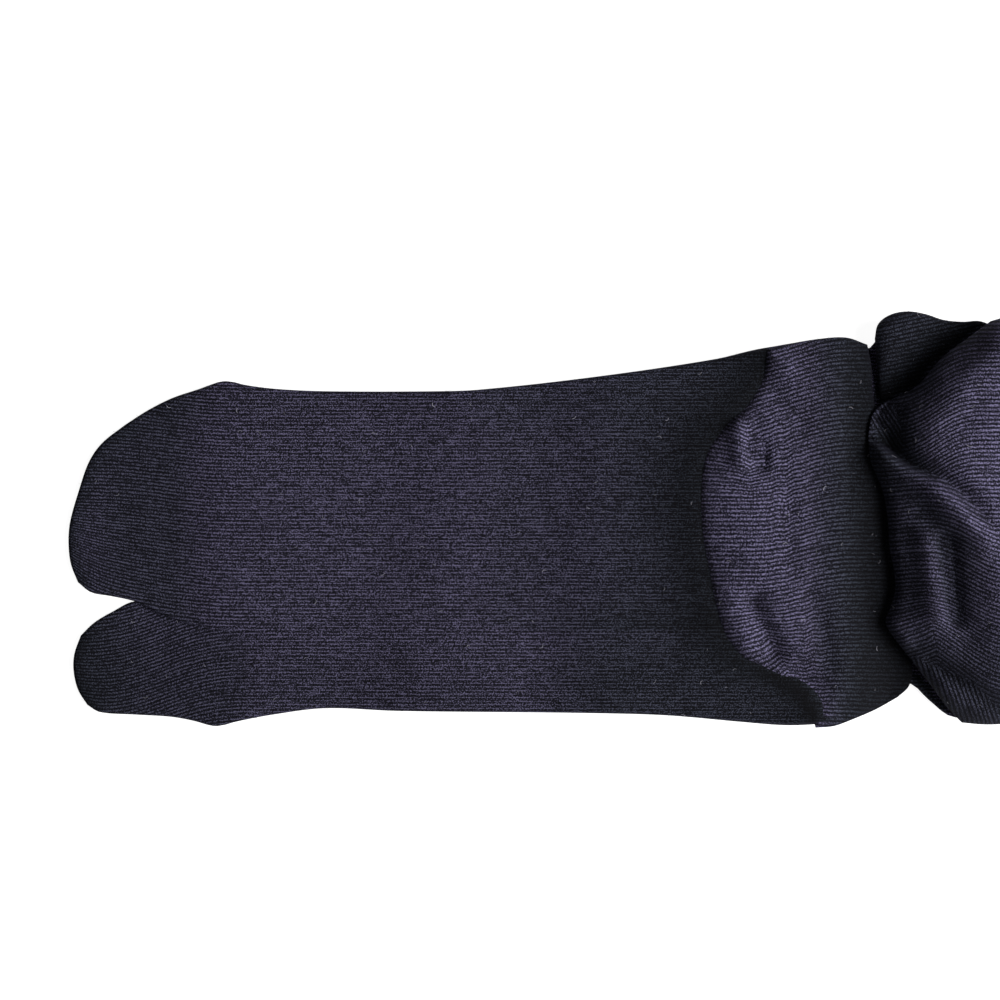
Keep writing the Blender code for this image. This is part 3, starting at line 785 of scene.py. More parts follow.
@dataclass(frozen=True)
class LintFinish(MottledFinish):
    """Loose cotton fibre: pale and matt, each fibre a slightly different grey."""

    name: str = "pale_cotton_lint"
    light: str = "#b9b7c4"
    dark_share: float = 0.35
    mottle: float = 6.25
    span: tuple[float, float] = (0.3, 0.7)
    roughness: float = 0.9


@dataclass(frozen=True)
class NapFinish(MottledFinish):
    """The jersey's own short raised fibre: dyed ink navy, matt, with a faint change of shade."""

    name: str = "ink_navy_raised_nap"
    light: str = "#3b394a"
    dark_share: float = 0.3
    mottle: float = 2.5
    detail: float = 1.0


@dataclass(frozen=True)
class PaperFinish(MottledFinish):
    """Seamless backdrop paper over a light table: matt, near white, with a faint mottle.

    The table's own light reaches the camera alone: it washes out the shadow on the paper and throws
    nothing back at the dark cloth.
    """

    name: str = "pale_backdrop_paper"
    light: str = "#c4c4c4"
    dark_share: float = 0.91102
    mottle: float = 1000 / 3
    glow: float = 0.93

    def shader(self, tree: bpy.types.NodeTree) -> bpy.types.Node:
        """Adds the mottle's nodes and the table's light.

        Args:
            tree: the material's node tree.

        Returns:
            The shader.
        """
        shader = super().shader(tree)
        shader.inputs["Emission Color"].default_value = (1.0, 1.0, 1.0, 1.0)
        seen = add_node(tree, "ShaderNodeLightPath").outputs["Is Camera Ray"]
        light = add_node(tree, MATHS, seen, self.glow, operation="MULTIPLY")
        tree.links.new(light.outputs[0], shader.inputs["Emission Strength"])
        return shader


@dataclass
class Grid:
    """A four-sided stretch of a piece's plan, with how finely it is divided."""

    low: Line
    high: Line
    stations: np.ndarray
    rows: np.ndarray
    start: Line | None = None
    end: Line | None = None

    def __post_init__(self) -> None:
        """Draws a straight start and end where none is given."""
        if self.start is None:
            self.start = straight(self.low[0], self.high[0])
        if self.end is None:
            self.end = straight(self.low[-1], self.high[-1])

    def points(self) -> np.ndarray:
        """The fine plan grid of the outer faces."""
        return patch(self.low, self.high, self.start, self.end, self.stations, self.rows)

    def inner_points(self, inset: float, spacing: float) -> np.ndarray:
        """A coarse plan grid for the inner faces.

        Args:
            inset: how far it lies inside all four edges.
            spacing: the wanted step.

        Returns:
            The plan points.
        """
        ends = [self.low[0] - self.high[0], self.low[-1] - self.high[-1]]
        width = float(np.mean(np.linalg.norm(ends, axis=1)))
        steps = [np.diff(line, axis=0) for line in (self.low, self.high)]
        length = float(np.mean([np.linalg.norm(step, axis=1).sum() for step in steps]))
        shares = []
        for size in (length, max(width, LEAST_WIDTH)):
            count = max(3, round(size / spacing))
            shares.append(np.linspace(inset / size, 1.0 - inset / size, count))
        return patch(self.low, self.high, self.start, self.end, *shares)

    def area(self) -> float:
        """The plan's area.

        Returns:
            The area in square millimetres.
        """
        points = self.points()
        a = points[1:, 1:] - points[:-1, :-1]
        b = points[1:, :-1] - points[:-1, 1:]
        return float(np.abs(a[..., 0] * b[..., 1] - a[..., 1] * b[..., 0]).sum() / 2)


def add_sheet(
    mesh: bmesh.types.BMesh, places: np.ndarray, faces_up: bool
) -> list[list[bmesh.types.BMVert]]:
    """Adds a grid of faces.

    Args:
        mesh: the mesh it goes in.
        places: an array of (stations, rows, 3).
        faces_up: whether the faces point up.

    Returns:
        The grid's vertices.
    """
    verts = [[mesh.verts.new(place) for place in line] for line in places]
    for near, far in zip(verts[:-1], verts[1:]):
        for j in range(len(near) - 1):
            face = [near[j], far[j], far[j + 1], near[j + 1]]
            mesh.faces.new(face if faces_up else face[::-1])
    return verts


def rim_of(verts: list[list[bmesh.types.BMVert]]) -> list[bmesh.types.BMVert]:
    """The vertices round a grid, in order."""
    side, other = ([line[k] for line in verts[1:-1]] for k in (-1, 0))
    return verts[0] + side + verts[-1][::-1] + other[::-1]


def closed_mesh(grids: Sequence[tuple[np.ndarray, np.ndarray, np.ndarray]]) -> bmesh.types.BMesh:
    """A closed surface over plan grids, with its faces outward.

    Args:
        grids: for each grid its plan points, under heights and upper heights.

    Returns:
        The surface as a bmesh.
    """
    mesh = bmesh.new()
    for points, under, upper in grids:
        top = rim_of(add_sheet(mesh, placed(points, upper), True))
        bottom = rim_of(add_sheet(mesh, placed(points, under), False))
        for k in range(len(top)):
            mesh.faces.new([top[k], top[k - 1], bottom[k - 1], bottom[k]])
    bmesh.ops.remove_doubles(mesh, verts=mesh.verts, dist=WELD * MM)
    inside = [
        face for face in mesh.faces if sum(len(edge.link_faces) > 2 for edge in face.edges) > 1
    ]
    bmesh.ops.delete(mesh, geom=inside, context="FACES")
    bmesh.ops.recalc_face_normals(mesh, faces=mesh.faces)
    if mesh.calc_volume(signed=True) < 0:
        bmesh.ops.reverse_faces(mesh, faces=mesh.faces)
    return mesh


def add_object(name: str, data: bpy.types.ID) -> bpy.types.Object:
    """Puts a new object in the scene.

    Args:
        name: the object's name.
        data: its mesh, light or camera.

    Returns:
        The object.
    """
    thing = bpy.data.objects.new(name, data)
    bpy.context.scene.collection.objects.link(thing)
    return thing


def vertices_of(piece: bpy.types.Object) -> np.ndarray:
    """A piece's vertices.

    Args:
        piece: the piece.

    Returns:
        Their places in metres.
    """
    places = np.empty(len(piece.data.vertices) * 3)
    piece.data.vertices.foreach_get("co", places)
    return places.reshape(-1, 3)


def surface_of(piece: bpy.types.Object, parts: int = 4) -> np.ndarray:
    """Points spread evenly over a piece's faces, in metres.

    Args:
        piece: the piece.
        parts: parts that each triangle's sides are divided in.

    Returns:
        The points.
    """
    piece.data.calc_loop_triangles()
    corners = np.empty(len(piece.data.loop_triangles) * 3, np.int32)
    piece.data.loop_triangles.foreach_get("vertices", corners)
    shares = [(a, b, parts - a - b) for a in range(parts + 1) for b in range(parts + 1 - a)]
    triangles = vertices_of(piece)[corners.reshape(-1, 3)]
    return np.einsum("sk,tkx->tsx", np.array(shares) / parts, triangles).reshape(-1, 3)


def shape_tree(name: str, inputs: dict[str, str]) -> bpy.types.GeometryNodeTree:
    """A new node tree for shapes.

    Args:
        name: the tree's name.
        inputs: the kind of each of its own inputs, by name, beside the shape that it works on.

    Returns:
        The tree.
    """
    tree = bpy.data.node_groups.new(name, "GeometryNodeTree")
    for label, kind in ({"Geometry": "Geometry"} | inputs).items():
        tree.interface.new_socket(label, in_out="INPUT", socket_type=f"NodeSocket{kind}")
    tree.interface.new_socket("Geometry", in_out="OUTPUT", socket_type="NodeSocketGeometry")
    return tree


def end_tree(
    tree: bpy.types.GeometryNodeTree, shape: bpy.types.Node, finish: bpy.types.NodeSocket
) -> None:
    """Ends a tree: makes its shape real, keeps it above the floor and sets its finish.

    Args:
        tree: the tree.
        shape: the node that gives the shape.
        finish: the tree's own input for the finish.
    """
    node = partial(add_node, tree)
    place = node("GeometryNodeInputPosition")
    above = node("ShaderNodeVectorMath", place, FLOOR_CORNER, operation="MAXIMUM")
    real = node("GeometryNodeRealizeInstances", shape)
    lifted = node("GeometryNodeSetPosition", real, named={"Position": above})
    finished = node("GeometryNodeSetMaterial", lifted, named={"Material": finish})
    node("NodeGroupOutput", finished)


def apply_tree(
    piece: bpy.types.Object, tree: bpy.types.GeometryNodeTree, values: dict[str, object]
) -> None:
    """Runs a tree on a piece and puts its result in the piece's mesh.

    Args:
        piece: the object, whose mesh is replaced.
        tree: the node tree.
        values: the tree's input values, by name.
    """
    modifier = piece.modifiers.new(tree.name, "NODES")
    modifier.node_group = tree
    for item in tree.interface.items_tree:
        if item.in_out == "INPUT" and item.name in values:
            modifier[item.identifier] = values[item.name]
    piece.update_tag()
    evaluated = piece.evaluated_get(bpy.context.evaluated_depsgraph_get())
    mesh = bpy.data.meshes.new_from_object(evaluated)
    piece.modifiers.remove(modifier)
    old, piece.data = piece.data, mesh
    bpy.data.meshes.remove(old)


@dataclass
class CuffRibs:
    """The raised ribs of an elastic cuff."""

    pitch_in_wales: float = 2.45
    depth: float = 0.35

    def raise_on(self, cuff: bpy.types.Object, finish: Finish) -> None:
        """Moves the cuff's outer faces in and out in ribs.

        Args:
            cuff: the cuff's shell, whose mesh is replaced.
            finish: the cuff's finish.
        """
        sizes = {"Depth": self.depth * MM, "Pitch": self.pitch_in_wales}
        apply_tree(cuff, self._tree(), sizes | {"Finish": finish.material()})

    def _tree(self) -> bpy.types.GeometryNodeTree:
        """The node tree that offsets each outer vertex along its normal by a rounded wave.

        Returns:
            The tree.
        """
        tree = shape_tree("cuff_ribs", {"Depth": "Float", "Pitch": "Float", "Finish": "Material"})
        node = partial(add_node, tree)
        given = node("NodeGroupInput").outputs
        knit = node("GeometryNodeInputNamedAttribute", "knit", data_type="FLOAT_VECTOR")
        outside = node("GeometryNodeInputNamedAttribute", "outside", data_type="FLOAT")
        wale = node("ShaderNodeSeparateXYZ", knit).outputs["Y"]
        turn = ("MULTIPLY", ("DIVIDE", wale, given["Pitch"]), 2 * math.pi)
        wave = ("MULTIPLY", ("MULTIPLY", ("COSINE", turn), given["Depth"]), outside)
        normal = node("GeometryNodeInputNormal")
        offset = node("ShaderNodeVectorMath", normal, named={3: wave}, operation="SCALE")
        moved = node("GeometryNodeSetPosition", given["Geometry"], named={"Offset": offset})
        end_tree(tree, moved, given["Finish"])
        return tree


@dataclass
class Fibres:
    """Loose fibres on a piece of cloth: its own short nap, or caught lint.

    Both are drawn thicker than they are, as coarse as they need to show.
    """

    name: str
    seed: int
    finish: Finish
    density: float
    length: float
    radius: float
    rise: float
    curl: float
    lean: float = 0.35
    least_size: float = 0.4
    most_size: float = 1.5
    tip_rise: float = 0.4
    parts: int = 6
    sides: int = 3

    def strew_over(self, cloth: bpy.types.Object) -> bpy.types.Object:
        """Scatters the fibres over a cloth's outer faces.

        Args:
            cloth: the finished piece that they lie on.

        Returns:
            The fibres as one mesh.
        """
        fibres = add_object(self.name, cloth.data.copy())
        values = {
            "Density": self.density,
            "Length": self.length * MM,
            "Radius": self.radius * MM,
            "Rise": self.rise,
            "Curl": self.curl,
            "Seed": self.seed,
            "Finish": self.finish.material(),
        }
        apply_tree(fibres, self._tree(), values)
        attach(fibres, BODY)
        log.info("%s: %d faces", fibres.name, len(fibres.data.polygons))
        return fibres

    def _tree(self) -> bpy.types.GeometryNodeTree:
        """The node tree that scatters short curled strands, turned at random.

        Returns:
            The tree.
        """
        sizes = dict.fromkeys(("Density", "Length", "Radius", "Rise", "Curl"), "Float")
        tree = shape_tree(self.name, sizes | {"Seed": "Int", "Finish": "Material"})
        node = partial(add_node, tree)
        given = node("NodeGroupInput").outputs
        seed = {"Seed": given["Seed"]}
        outside = node("GeometryNodeInputNamedAttribute", "outside", data_type="FLOAT")
        density = ("MULTIPLY", outside, given["Density"])
        spots = node(
            "GeometryNodeDistributePointsOnFaces",
            given["Geometry"],
            named={"Density": density} | seed,
            distribute_method="RANDOM",
        )
        turns = {0: (-self.lean, -self.lean, 0.0), 1: (self.lean, self.lean, 2 * math.pi)}
        spin = node("FunctionNodeRandomValue", named=turns | seed, data_type="FLOAT_VECTOR")
        turned = node(
            "FunctionNodeRotateRotation", spots.outputs["Rotation"], spin, rotation_space="LOCAL"
        )
        sizes = {2: self.least_size, 3: self.most_size}
        size = node("FunctionNodeRandomValue", named=sizes | seed, data_type="FLOAT")
        strand = {"Instance": self._strand(tree, given), "Rotation": turned}
        strand["Scale"] = size.outputs[1]
        strands = node("GeometryNodeInstanceOnPoints", spots, named=strand)
        end_tree(tree, strands, given["Finish"])
        return tree

    def _strand(
        self, tree: bpy.types.NodeTree, given: bpy.types.bpy_prop_collection
    ) -> bpy.types.Node:
        """One curled strand, lying along its own X and rising along its own Z.

        Args:
            tree: the fibres' node tree.
            given: the tree's own inputs.

        Returns:
            The node that gives the strand.
        """
        node = partial(add_node, tree)
        length = given["Length"]
        up = ("MULTIPLY", length, given["Rise"])
        aside = ("MULTIPLY", length, given["Curl"])
        middle = node("ShaderNodeCombineXYZ", ("MULTIPLY", length, 0.5), aside, up)
        tip = node("ShaderNodeCombineXYZ", length, 0.0, ("MULTIPLY", up, self.tip_rise))
        bow = node("GeometryNodeCurveQuadraticBezier", self.parts, (0.0, 0.0, 0.0), middle, tip)
        size = {"Radius": given["Radius"]}
        profile = node("GeometryNodeCurvePrimitiveCircle", self.sides, named=size)
        return node("GeometryNodeCurveToMesh", bow, profile)


@dataclass
class Cloth:
    """A piece of knitted cloth: a flattened tube or pouch with an outer face and an inner one."""

    name: str
    grids: list[Grid]
    heights: Heights
    wales: Wales
    stands_for: list[str]
    finish: KnitFinish
    slot: str
    flat: tuple[float, float]
    rests_on: list[str]
    # How pale the cloth is drawn at each spot, painted light and shade included
    tone: Shade
    clear: Shade
    ribs: CuffRibs | None = None
    held: str = "folded"
    thickness: float = 1.0
    least_hollow: float = 0.04
    inset: float = 1.5
    inner_step: float = 5.0

    def build(self) -> bpy.types.Object:
        """Returns:
            The finished piece.
        """
        shells = [
            closed_mesh([(g, *self.heights(g)) for g in (grid.points() for grid in self.grids)]),
            closed_mesh([self._inner(grid) for grid in self.grids]),
        ]
        bmesh.ops.reverse_faces(shells[1], faces=shells[1].faces)
        outer_count = len(shells[0].verts)
        piece = add_object(self.name, self._joined(shells))
        self._map_knit(piece.data, vertices_of(piece), outer_count)
        piece.data.materials.append(self.finish.material())
        if self.ribs:
            self.ribs.raise_on(piece, self.finish)
        self._declare(piece)
        return piece

    def _inner(self, grid: Grid) -> tuple[np.ndarray, np.ndarray, np.ndarray]:
        """The inner faces, a cloth's thickness inside the outer ones.

        Args:
            grid: the outer faces' grid.

        Returns:
            Their plan points, under heights and upper heights.
        """
        points = grid.inner_points(self.inset, self.inner_step)
        under, upper = self.heights(points)
        middle = (under + upper) / 2
        half = np.maximum((upper - under) / 2 - self.thickness, self.least_hollow)
        return points, middle - half, middle + half

    def _joined(self, shells: list[bmesh.types.BMesh]) -> bpy.types.Mesh:
        """Joins the outer and inner faces.

        Args:
            shells: the outer faces and the inner ones.

        Returns:
            One smooth mesh, outer vertices first.
        """
        joined = bmesh.new()
        for shell in shells:
            data = bpy.data.meshes.new(self.name)
            shell.to_mesh(data)
            shell.free()
            joined.from_mesh(data)
            bpy.data.meshes.remove(data)
        data = bpy.data.meshes.new(self.name)
        joined.to_mesh(data)
        joined.free()
        data.shade_smooth()
        return data

    def _map_knit(self, data: bpy.types.Mesh, places: np.ndarray, outer_count: int) -> None:
        """Gives the mesh its knit map, in millimetres along and wales across, and its tone with
        painted light and shade.

        Args:
            data: the mesh.
            places: its vertices.
            outer_count: how many of them are on its outer faces.
        """
        plan = in_plan(places)
        corner = np.empty(len(data.loops), int)
        data.loops.foreach_get("vertex_index", corner)
        sizes = np.empty(len(data.polygons), int)
        data.polygons.foreach_get("loop_total", sizes)
        face = np.repeat(np.arange(len(sizes)), sizes)
        middles = np.stack([np.bincount(face, plan[corner, k]) for k in range(2)], axis=1)
        middles = (middles / sizes[:, None])[face]
        down = plan[corner, 0] - places[corner, 2] / MM
        knit = np.stack([down, self.wales(plan[corner], middles)], axis=1)
        data.uv_layers.new(name="knit").data.foreach_set("uv", knit.ravel().astype(np.float32))
        outside = np.arange(len(plan)) < outer_count
        for name, shade in (("tone", self.tone), ("clear", self.clear), ("outside", outside)):
            values = np.broadcast_to(shade(plan) if callable(shade) else shade, len(plan))
            layer = data.attributes.new(name, "FLOAT", "POINT")
            layer.data.foreach_set("value", values.astype(np.float32))

    def _declare(self, piece: bpy.types.Object) -> None:
        """Attaches the piece to its body, hides the parts that it stands for and logs its size.

        Args:
            piece: the piece.
        """
        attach(piece, BODY)
        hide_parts(*self.stands_for)
        area = 2 * sum(grid.area() for grid in self.grids) * MM**2
        log.info("%s: %d faces, %.4f m2 of cloth", piece.name, len(piece.data.polygons), area)


class Side(Enum):
    """Which foot a sock is for."""

    LEFT = "left"
    RIGHT = "right"


@dataclass
class Sock:
    """What both socks share: how the toes, the foot, the leg and the cuff are laid out."""

    side: Side
    toe_length: float = 42.0
    toe_step: float = 2.2
    foot_width: float = 88.0
    half_cuff: float = 42.0
    cuff_step: float = 1.2
    step_along: float = 2.2
    step_across: float = 1.5
    heel_step: float = 0.9
    wale_pitch: float = 0.98
    heel_wale_pitch: float = 1.16
    rib_pitch: float = 2.4
    steps_in_rib: int = 6
    shade_of_hidden: float = 0.55
    heel_slack: float = 0.22
    leg_top: tuple[float, float] = (-42.0, 42.0)
    leg_flat: tuple[float, float] = (0.192, 0.098)
    cuff_flat: tuple[float, float] = (0.168, 0.018)
    jersey: KnitFinish = KnitFinish()
    rib: KnitFinish = KnitFinish(name="ink_navy_elastic_rib", wale_relief=0.1)

    def toes_and_foot(
        self, turn: Callable[[list[Point]], list[Point]], inner: Line, outer: Line
    ) -> tuple[list[Grid], list[Line]]:
        """The plan of a foot with its four-toe pocket and its big-toe pocket.

        Args:
            turn: places the toes' tables for this sock.
            inner: the foot's inner edge.
            outer: the foot's outer edge.

        Returns:
            The grids, and the lines that are rims.
        """
        tables = ((TOES_SPLIT, TOES_OUTER, TOES_TIP), (BIG_SPLIT, BIG_OUTER, BIG_TIP))
        pockets = [[curve(turn(edge)) for edge in edges] for edges in tables]
        stations = shares_between(self.toe_step, self.toe_length, TUBE_RIM)
        grids, seam_rows = [], []
        for split, side, tip in pockets:
            width = float(np.linalg.norm(side[-1] - split[-1]))
            rows = shares_between(self.step_across, width, TUBE_RIM, TUBE_RIM)
            grids.append(Grid(split, side, stations, rows, start=tip))
            seam_rows.append(rows * width)
        # The big toe is by the left foot's inner edge and by the turned right foot's outer one.
        by_outer, by_inner = seam_rows if self.side is Side.LEFT else seam_rows[::-1]
        split = pockets[0][0][-1]
        seam = np.vstack([straight(inner[0], split)[:-1], straight(split, outer[0])])
        rows = np.concatenate([(by_inner[-1] - by_inner[::-1])[:-1], by_inner[-1] + by_outer])
        stations = self.stations_along(outer)
        grids.append(Grid(inner, outer, stations, rows / rows[-1], start=seam))
        return grids, [inner, outer, *(line for edges in pockets for line in edges)]

    def stations_along(self, edge: Line) -> np.ndarray:
        """The stations of a tube whose edge runs nearly straight."""
        return shares_between(self.step_along, float(np.linalg.norm(edge[-1] - edge[0])))

    def plain_wales(self, points: np.ndarray, middles: np.ndarray) -> np.ndarray:
        """Wales that run straight along the tube."""
        return points[:, 1] / self.wale_pitch

    def tube_heights(
        self,
        rims: list[Line],
        steps: Sequence[Step],
        layers: float = 0.0,
        shape: Heights | None = None,
    ) -> Heights:
        """The heights of a flattened tube.

        Args:
            rims: its rounded edges.
            steps: where it climbs by one more tube.
            layers: how many tubes lie under it before that.
            shape: what lifts its middle layer and what lifts only its upper side.

        Returns:
            A function that gives the under and upper heights at plan points.
        """

        def heights(points: np.ndarray) -> tuple[np.ndarray, np.ndarray]:
            """The heights of the under side and the upper side.

            Args:
                points: the plan points.

            Returns:
                Both heights at each point.
            """
            lift, surface = shape(points) if shape else (0.0, 0.0)
            middle = climbed(points, steps, layers) + TUBE_RIM + lift
            round_share = rounding(distance_to(points, rims), TUBE_RIM)
            under = middle - TUBE_RIM * round_share
            return np.maximum(under, 0.0), middle + (TUBE_RIM + surface) * round_share

        return heights

    def knit(self, name: str, **facts: object) -> bpy.types.Object:
        """Builds a piece of this sock's cloth.

        Args:
            name: the piece's name after its side.
            facts: the cloth's facts that differ from plain jersey's.

        Returns:
            The finished piece.
        """
        plain = {
            "finish": self.jersey,
            "slot": "sock_knit",
            "wales": self.plain_wales,
            "tone": self.shade_of_hidden,
            "clear": self.shade_of_hidden,
        }
        return Cloth(name=f"{self.side.value}_{name}", **(plain | facts)).build()

    def build_leg(
        self,
        mouth: float,
        slant: float,
        edges: tuple[list[Point], list[Point]],
        steps: Sequence[Step],
        layers: float,
        below: str,
    ) -> None:
        """Builds the leg, turned under its foot, and the ribbed cuff round its mouth.

        Args:
            mouth: where the cuff's mouth is, along the pair's middle.
            slant: how far the mouth runs along for each millimetre across.
            edges: the leg's inner and outer edges past the cuff.
            steps: where they climb by one more tube.
            layers: how many tubes lie under them before that.
            below: the piece that they rest on.
        """
        tops = [Point(mouth + CUFF_DEPTH + slant * at, at) for at in self.leg_top]
        inner, outer = (curve([top] + edge) for top, edge in zip(tops, edges))
        rows = shares_between(self.step_across, self.foot_width, TUBE_RIM, TUBE_RIM)
        self.knit(
            "leg_knit",
            grids=[Grid(inner, outer, self.stations_along(outer), rows)],
            heights=self.tube_heights([inner, outer], steps, layers),
            stands_for=[f"{self.side.value}_leg"],
            flat=self.leg_flat,
            rests_on=[below],
        )
        waist = 1 - CUFF_WAIST / self.half_cuff
        waisted = [Point(top.along - CUFF_DEPTH, top.across * waist) for top in tops]
        low, high = (straight(end, top) for end, top in zip(waisted, tops))
        stations = shares_between(self.cuff_step, CUFF_DEPTH, TUBE_RIM)
        rib_step = self.rib_pitch / self.steps_in_rib
        rows = shares_between(rib_step, 2 * self.half_cuff, TUBE_RIM, TUBE_RIM)
        cuff = Grid(low, high, stations, rows)
        self.knit(
            "cuff_rib",
            grids=[cuff],
            heights=self.tube_heights([low, high, cuff.start], steps, layers),
            stands_for=[f"{self.side.value}_cuff"],
            finish=self.rib,
            slot="cuff_rib",
            ribs=CuffRibs(),
            flat=self.cuff_flat,
            rests_on=[below],
        )


@dataclass
class LeftSock(Sock):
    """The upper sock, whose sole and heel pouch show."""

    side: Side = Side.LEFT
    toe_step: float = 1.54
    overlap: float = 0.12
    toes_lift: float = 0.55
    big_toe_sink: float = 0.35
    lift_reach: float = 3.4
    lift_start: tuple[float, float] = (6.0, 17.0)
    lift_end: tuple[float, float] = (31.0, 45.0)
    lip_rises: tuple[tuple[float, float], ...] = ((3.2, 14.0), (0.9, 5.0))
    toes_tilt: float = -0.061
    big_toe_tilt: float = 0.19
    tilt_length: float = 52.0
    heel_size: tuple[float, float] = (54.0, 112.0)
    heel_seat: float = 0.62
    heel_rim: float = 2.0
    sole_slack: float = 0.12
    leg_top: tuple[float, float] = (-41.6, 42.4)
    foot_flat: tuple[float, float] = (0.194, 0.212)
    heel_flat: tuple[float, float] = (0.216, 0.056)
    lip: Line = field(default_factory=lambda: curve(LEFT_LIP))

    def build(self) -> None:
        """Builds the foot, the heel pouch, the leg and the cuff."""
        inner, outer = curve(FOOT_INNER), curve(FOOT_OUTER)
        inner[0], outer[0] = BIG_OUTER[-1], TOES_OUTER[-1]
        grids, rims = self.toes_and_foot(list, inner, outer)
        self.knit(
            "foot_knit",
            grids=grids,
            heights=self.tube_heights(rims, LEFT_FOOT_STEPS, shape=self.foot_shape),
            wales=self.foot_wales,
            stands_for=["left_foot", "left_toe_pocket", "left_big_toe_pocket"],
            flat=self.foot_flat,
            rests_on=["right_foot_knit", "left_leg_knit"],
            tone=self.foot_tone_and_painted_shade,
            clear=lambda plan: 0.1 + 0.9 * (1.0 - ramp(plan[:, 0], 18.0, 60.0)),
        )
        self.build_heel()
        edges = (LEFT_LEG_INNER, LEFT_LEG_OUTER)
        self.build_leg(
            LEFT_MOUTH, LEFT_MOUTH_SLANT, edges, LEFT_LEG_STEPS, layers=1.0, below="right_foot_knit"
        )

    def foot_shape(self, points: np.ndarray) -> tuple[np.ndarray, np.ndarray]:
        """The four-toe pocket lies over the other, and the sole rises to the heel's lip.

        Args:
            points: the plan points.

        Returns:
            How much the middle layer rises, and how much more the upper side does.
        """
        along, across = points[..., 0], points[..., 1]
        on_toes = across > across_at(TOES_SPLIT, along) - self.overlap
        over = np.where(on_toes, self.toes_lift, -self.big_toe_sink)
        over = over * bell(distance_to(points, [curve(TOES_SPLIT)]), self.lift_reach)
        over = over * ramp(along, *self.lift_start) * (1.0 - ramp(along, *self.lift_end))
        to_lip = distance_to(points, [self.lip])
        rise = sum(height * bell(to_lip, reach) for height, reach in self.lip_rises)
        return over, rise + self.evened(points) + slack(points, self.sole_slack)

    def evened(self, points: np.ndarray) -> np.ndarray:
        """The sole spans the steps of what lies under it in gentler slopes than its under side."""
        return climbed(points, SOLE_STEPS) - climbed(points, (OVER_TOES, OVER_LEFT_LEG))

    def foot_wales(self, points: np.ndarray, middles: np.ndarray) -> np.ndarray:
        """Wales run straight along the foot, tilt on each toe pocket and fan out at its tip.

        Args:
            points: the plan points.
            middles: the middle of the face that each point is on.

        Returns:
            The wale that each point is on.
        """
        along, across = points.T
        tilt = climb(along, 0.0, self.tilt_length) - self.tilt_length / 2
        toes_fan = 9.0 * np.exp(-along / 7.5) * (1.0 - ramp(across, -8.0, 16.0))
        big_fan = 4.0 * np.exp(-along / 6.0) * (1.0 - ramp(across, -44.0, -26.0))
        at_seam = self.tilt_length / 2 * (self.big_toe_tilt - self.toes_tilt)
        toes = self.toes_tilt * tilt + toes_fan
        big_toe = self.big_toe_tilt * tilt + big_fan - at_seam
        on_toes = middles[:, 1] > across_at(TOES_SPLIT, middles[:, 0])
        return (across - np.where(on_toes, toes, big_toe)) / self.wale_pitch

    def foot_tone_and_painted_shade(self, plan: np.ndarray) -> np.ndarray:
        """Each zone has its own tone, darker at the edges and toe tips, with painted shade beside
        the heel's lip.

        Args:
            plan: the plan points.

        Returns:
            The tone at each point.
        """
        along, across = plan.T
        on_toes = across > across_at(TOES_SPLIT, along)
        tone = np.where(on_toes, zone_tones(along, TOES_ZONES), zone_tones(along, BIG_TOE_ZONES))
        edge = 0.94 - 0.12 * ramp(across, 30.0, 42.0) - 0.18 * ramp(-across, 12.0, 38.0)
        # Painted shade on the lower side of the sole before the heel.
        edge = edge - 0.34 * ramp(-across, 8.0, 26.0) * ramp(along, 126.0, 154.0)
        edge = edge - 0.42 * bell(distance_to(plan, [curve(TOES_TIP), curve(BIG_TIP)]), 3.4)
        # Painted shadow on the sole beside the heel's lip: broad along its upper part, narrow at
        # its lower end.
        to_lip = distance_to(plan, [self.lip])
        low = ramp(-across, 28.0, 38.0)
        lip_shadow_broad = 0.66 * (1.0 - 0.6 * low) * bell(to_lip, 11.0)
        lip_shadow_narrow = 0.95 * low * bell(to_lip, 3.2)
        return tone * edge * (1.0 - lip_shadow_broad) * (1.0 - lip_shadow_narrow)

    def build_heel(self) -> None:
        """Builds the heel pouch, flopped over the sole."""
        ankle, low, high = map(curve, (LEFT_ANKLE, LEFT_HEEL_INNER, LEFT_HEEL_OUTER))
        stations, rows = (
            shares_between(self.heel_step, size, LIP_RIM, LIP_RIM) for size in self.heel_size
        )
        rims = [self.lip, ankle, low, high]

        def heights(points: np.ndarray) -> tuple[np.ndarray, np.ndarray]:
            """The heights of the under side and the upper side.

            Args:
                points: the plan points.

            Returns:
                Both heights at each point.
            """
            along = points[..., 0]
            under = PITCH * (4.0 - 2.0 * ramp(along, *PAST_LEFT_TUBES))
            crown = left_shoulder(along) - fall(points, [self.lip, low, high], *LEFT_FALL)
            upper = crown + folded(points, LEFT_FOLDS) + slack(points, self.heel_slack)
            upper = np.maximum(upper, under + CLOTH)
            return rimmed(under, upper, self.heel_seat, distance_to(points, rims), self.heel_rim)

        self.knit(
            "heel_knit",
            grids=[Grid(low, high, stations, rows, self.lip, ankle)],
            heights=heights,
            wales=self.heel_wales,
            stands_for=["left_heel"],
            flat=self.heel_flat,
            rests_on=["left_foot_knit", "left_leg_knit"],
            tone=self.heel_tone_and_painted_shade,
            clear=lambda plan: 0.75 + 0.25 * ramp(plan[:, 0], 194.0, 210.0),
            inner_step=4.0,
        )

    def heel_tone_and_painted_shade(self, plan: np.ndarray) -> np.ndarray:
        """Painted light and shade: darker right at the lip, palest just behind it, lighter at the
        lower corner, and darker toward the ankle.

        Args:
            plan: the plan points.

        Returns:
            The tone at each point.
        """
        along, across = plan.T
        low = ramp(-across, 26.0, 36.0)
        to_lip = distance_to(plan, [self.lip])
        # Painted shade along the lip, taken off on its lower part.
        lip = 0.55 + 0.45 * ramp(to_lip, 0.0, 5.0)
        lip = lip + (0.9 - lip) * low
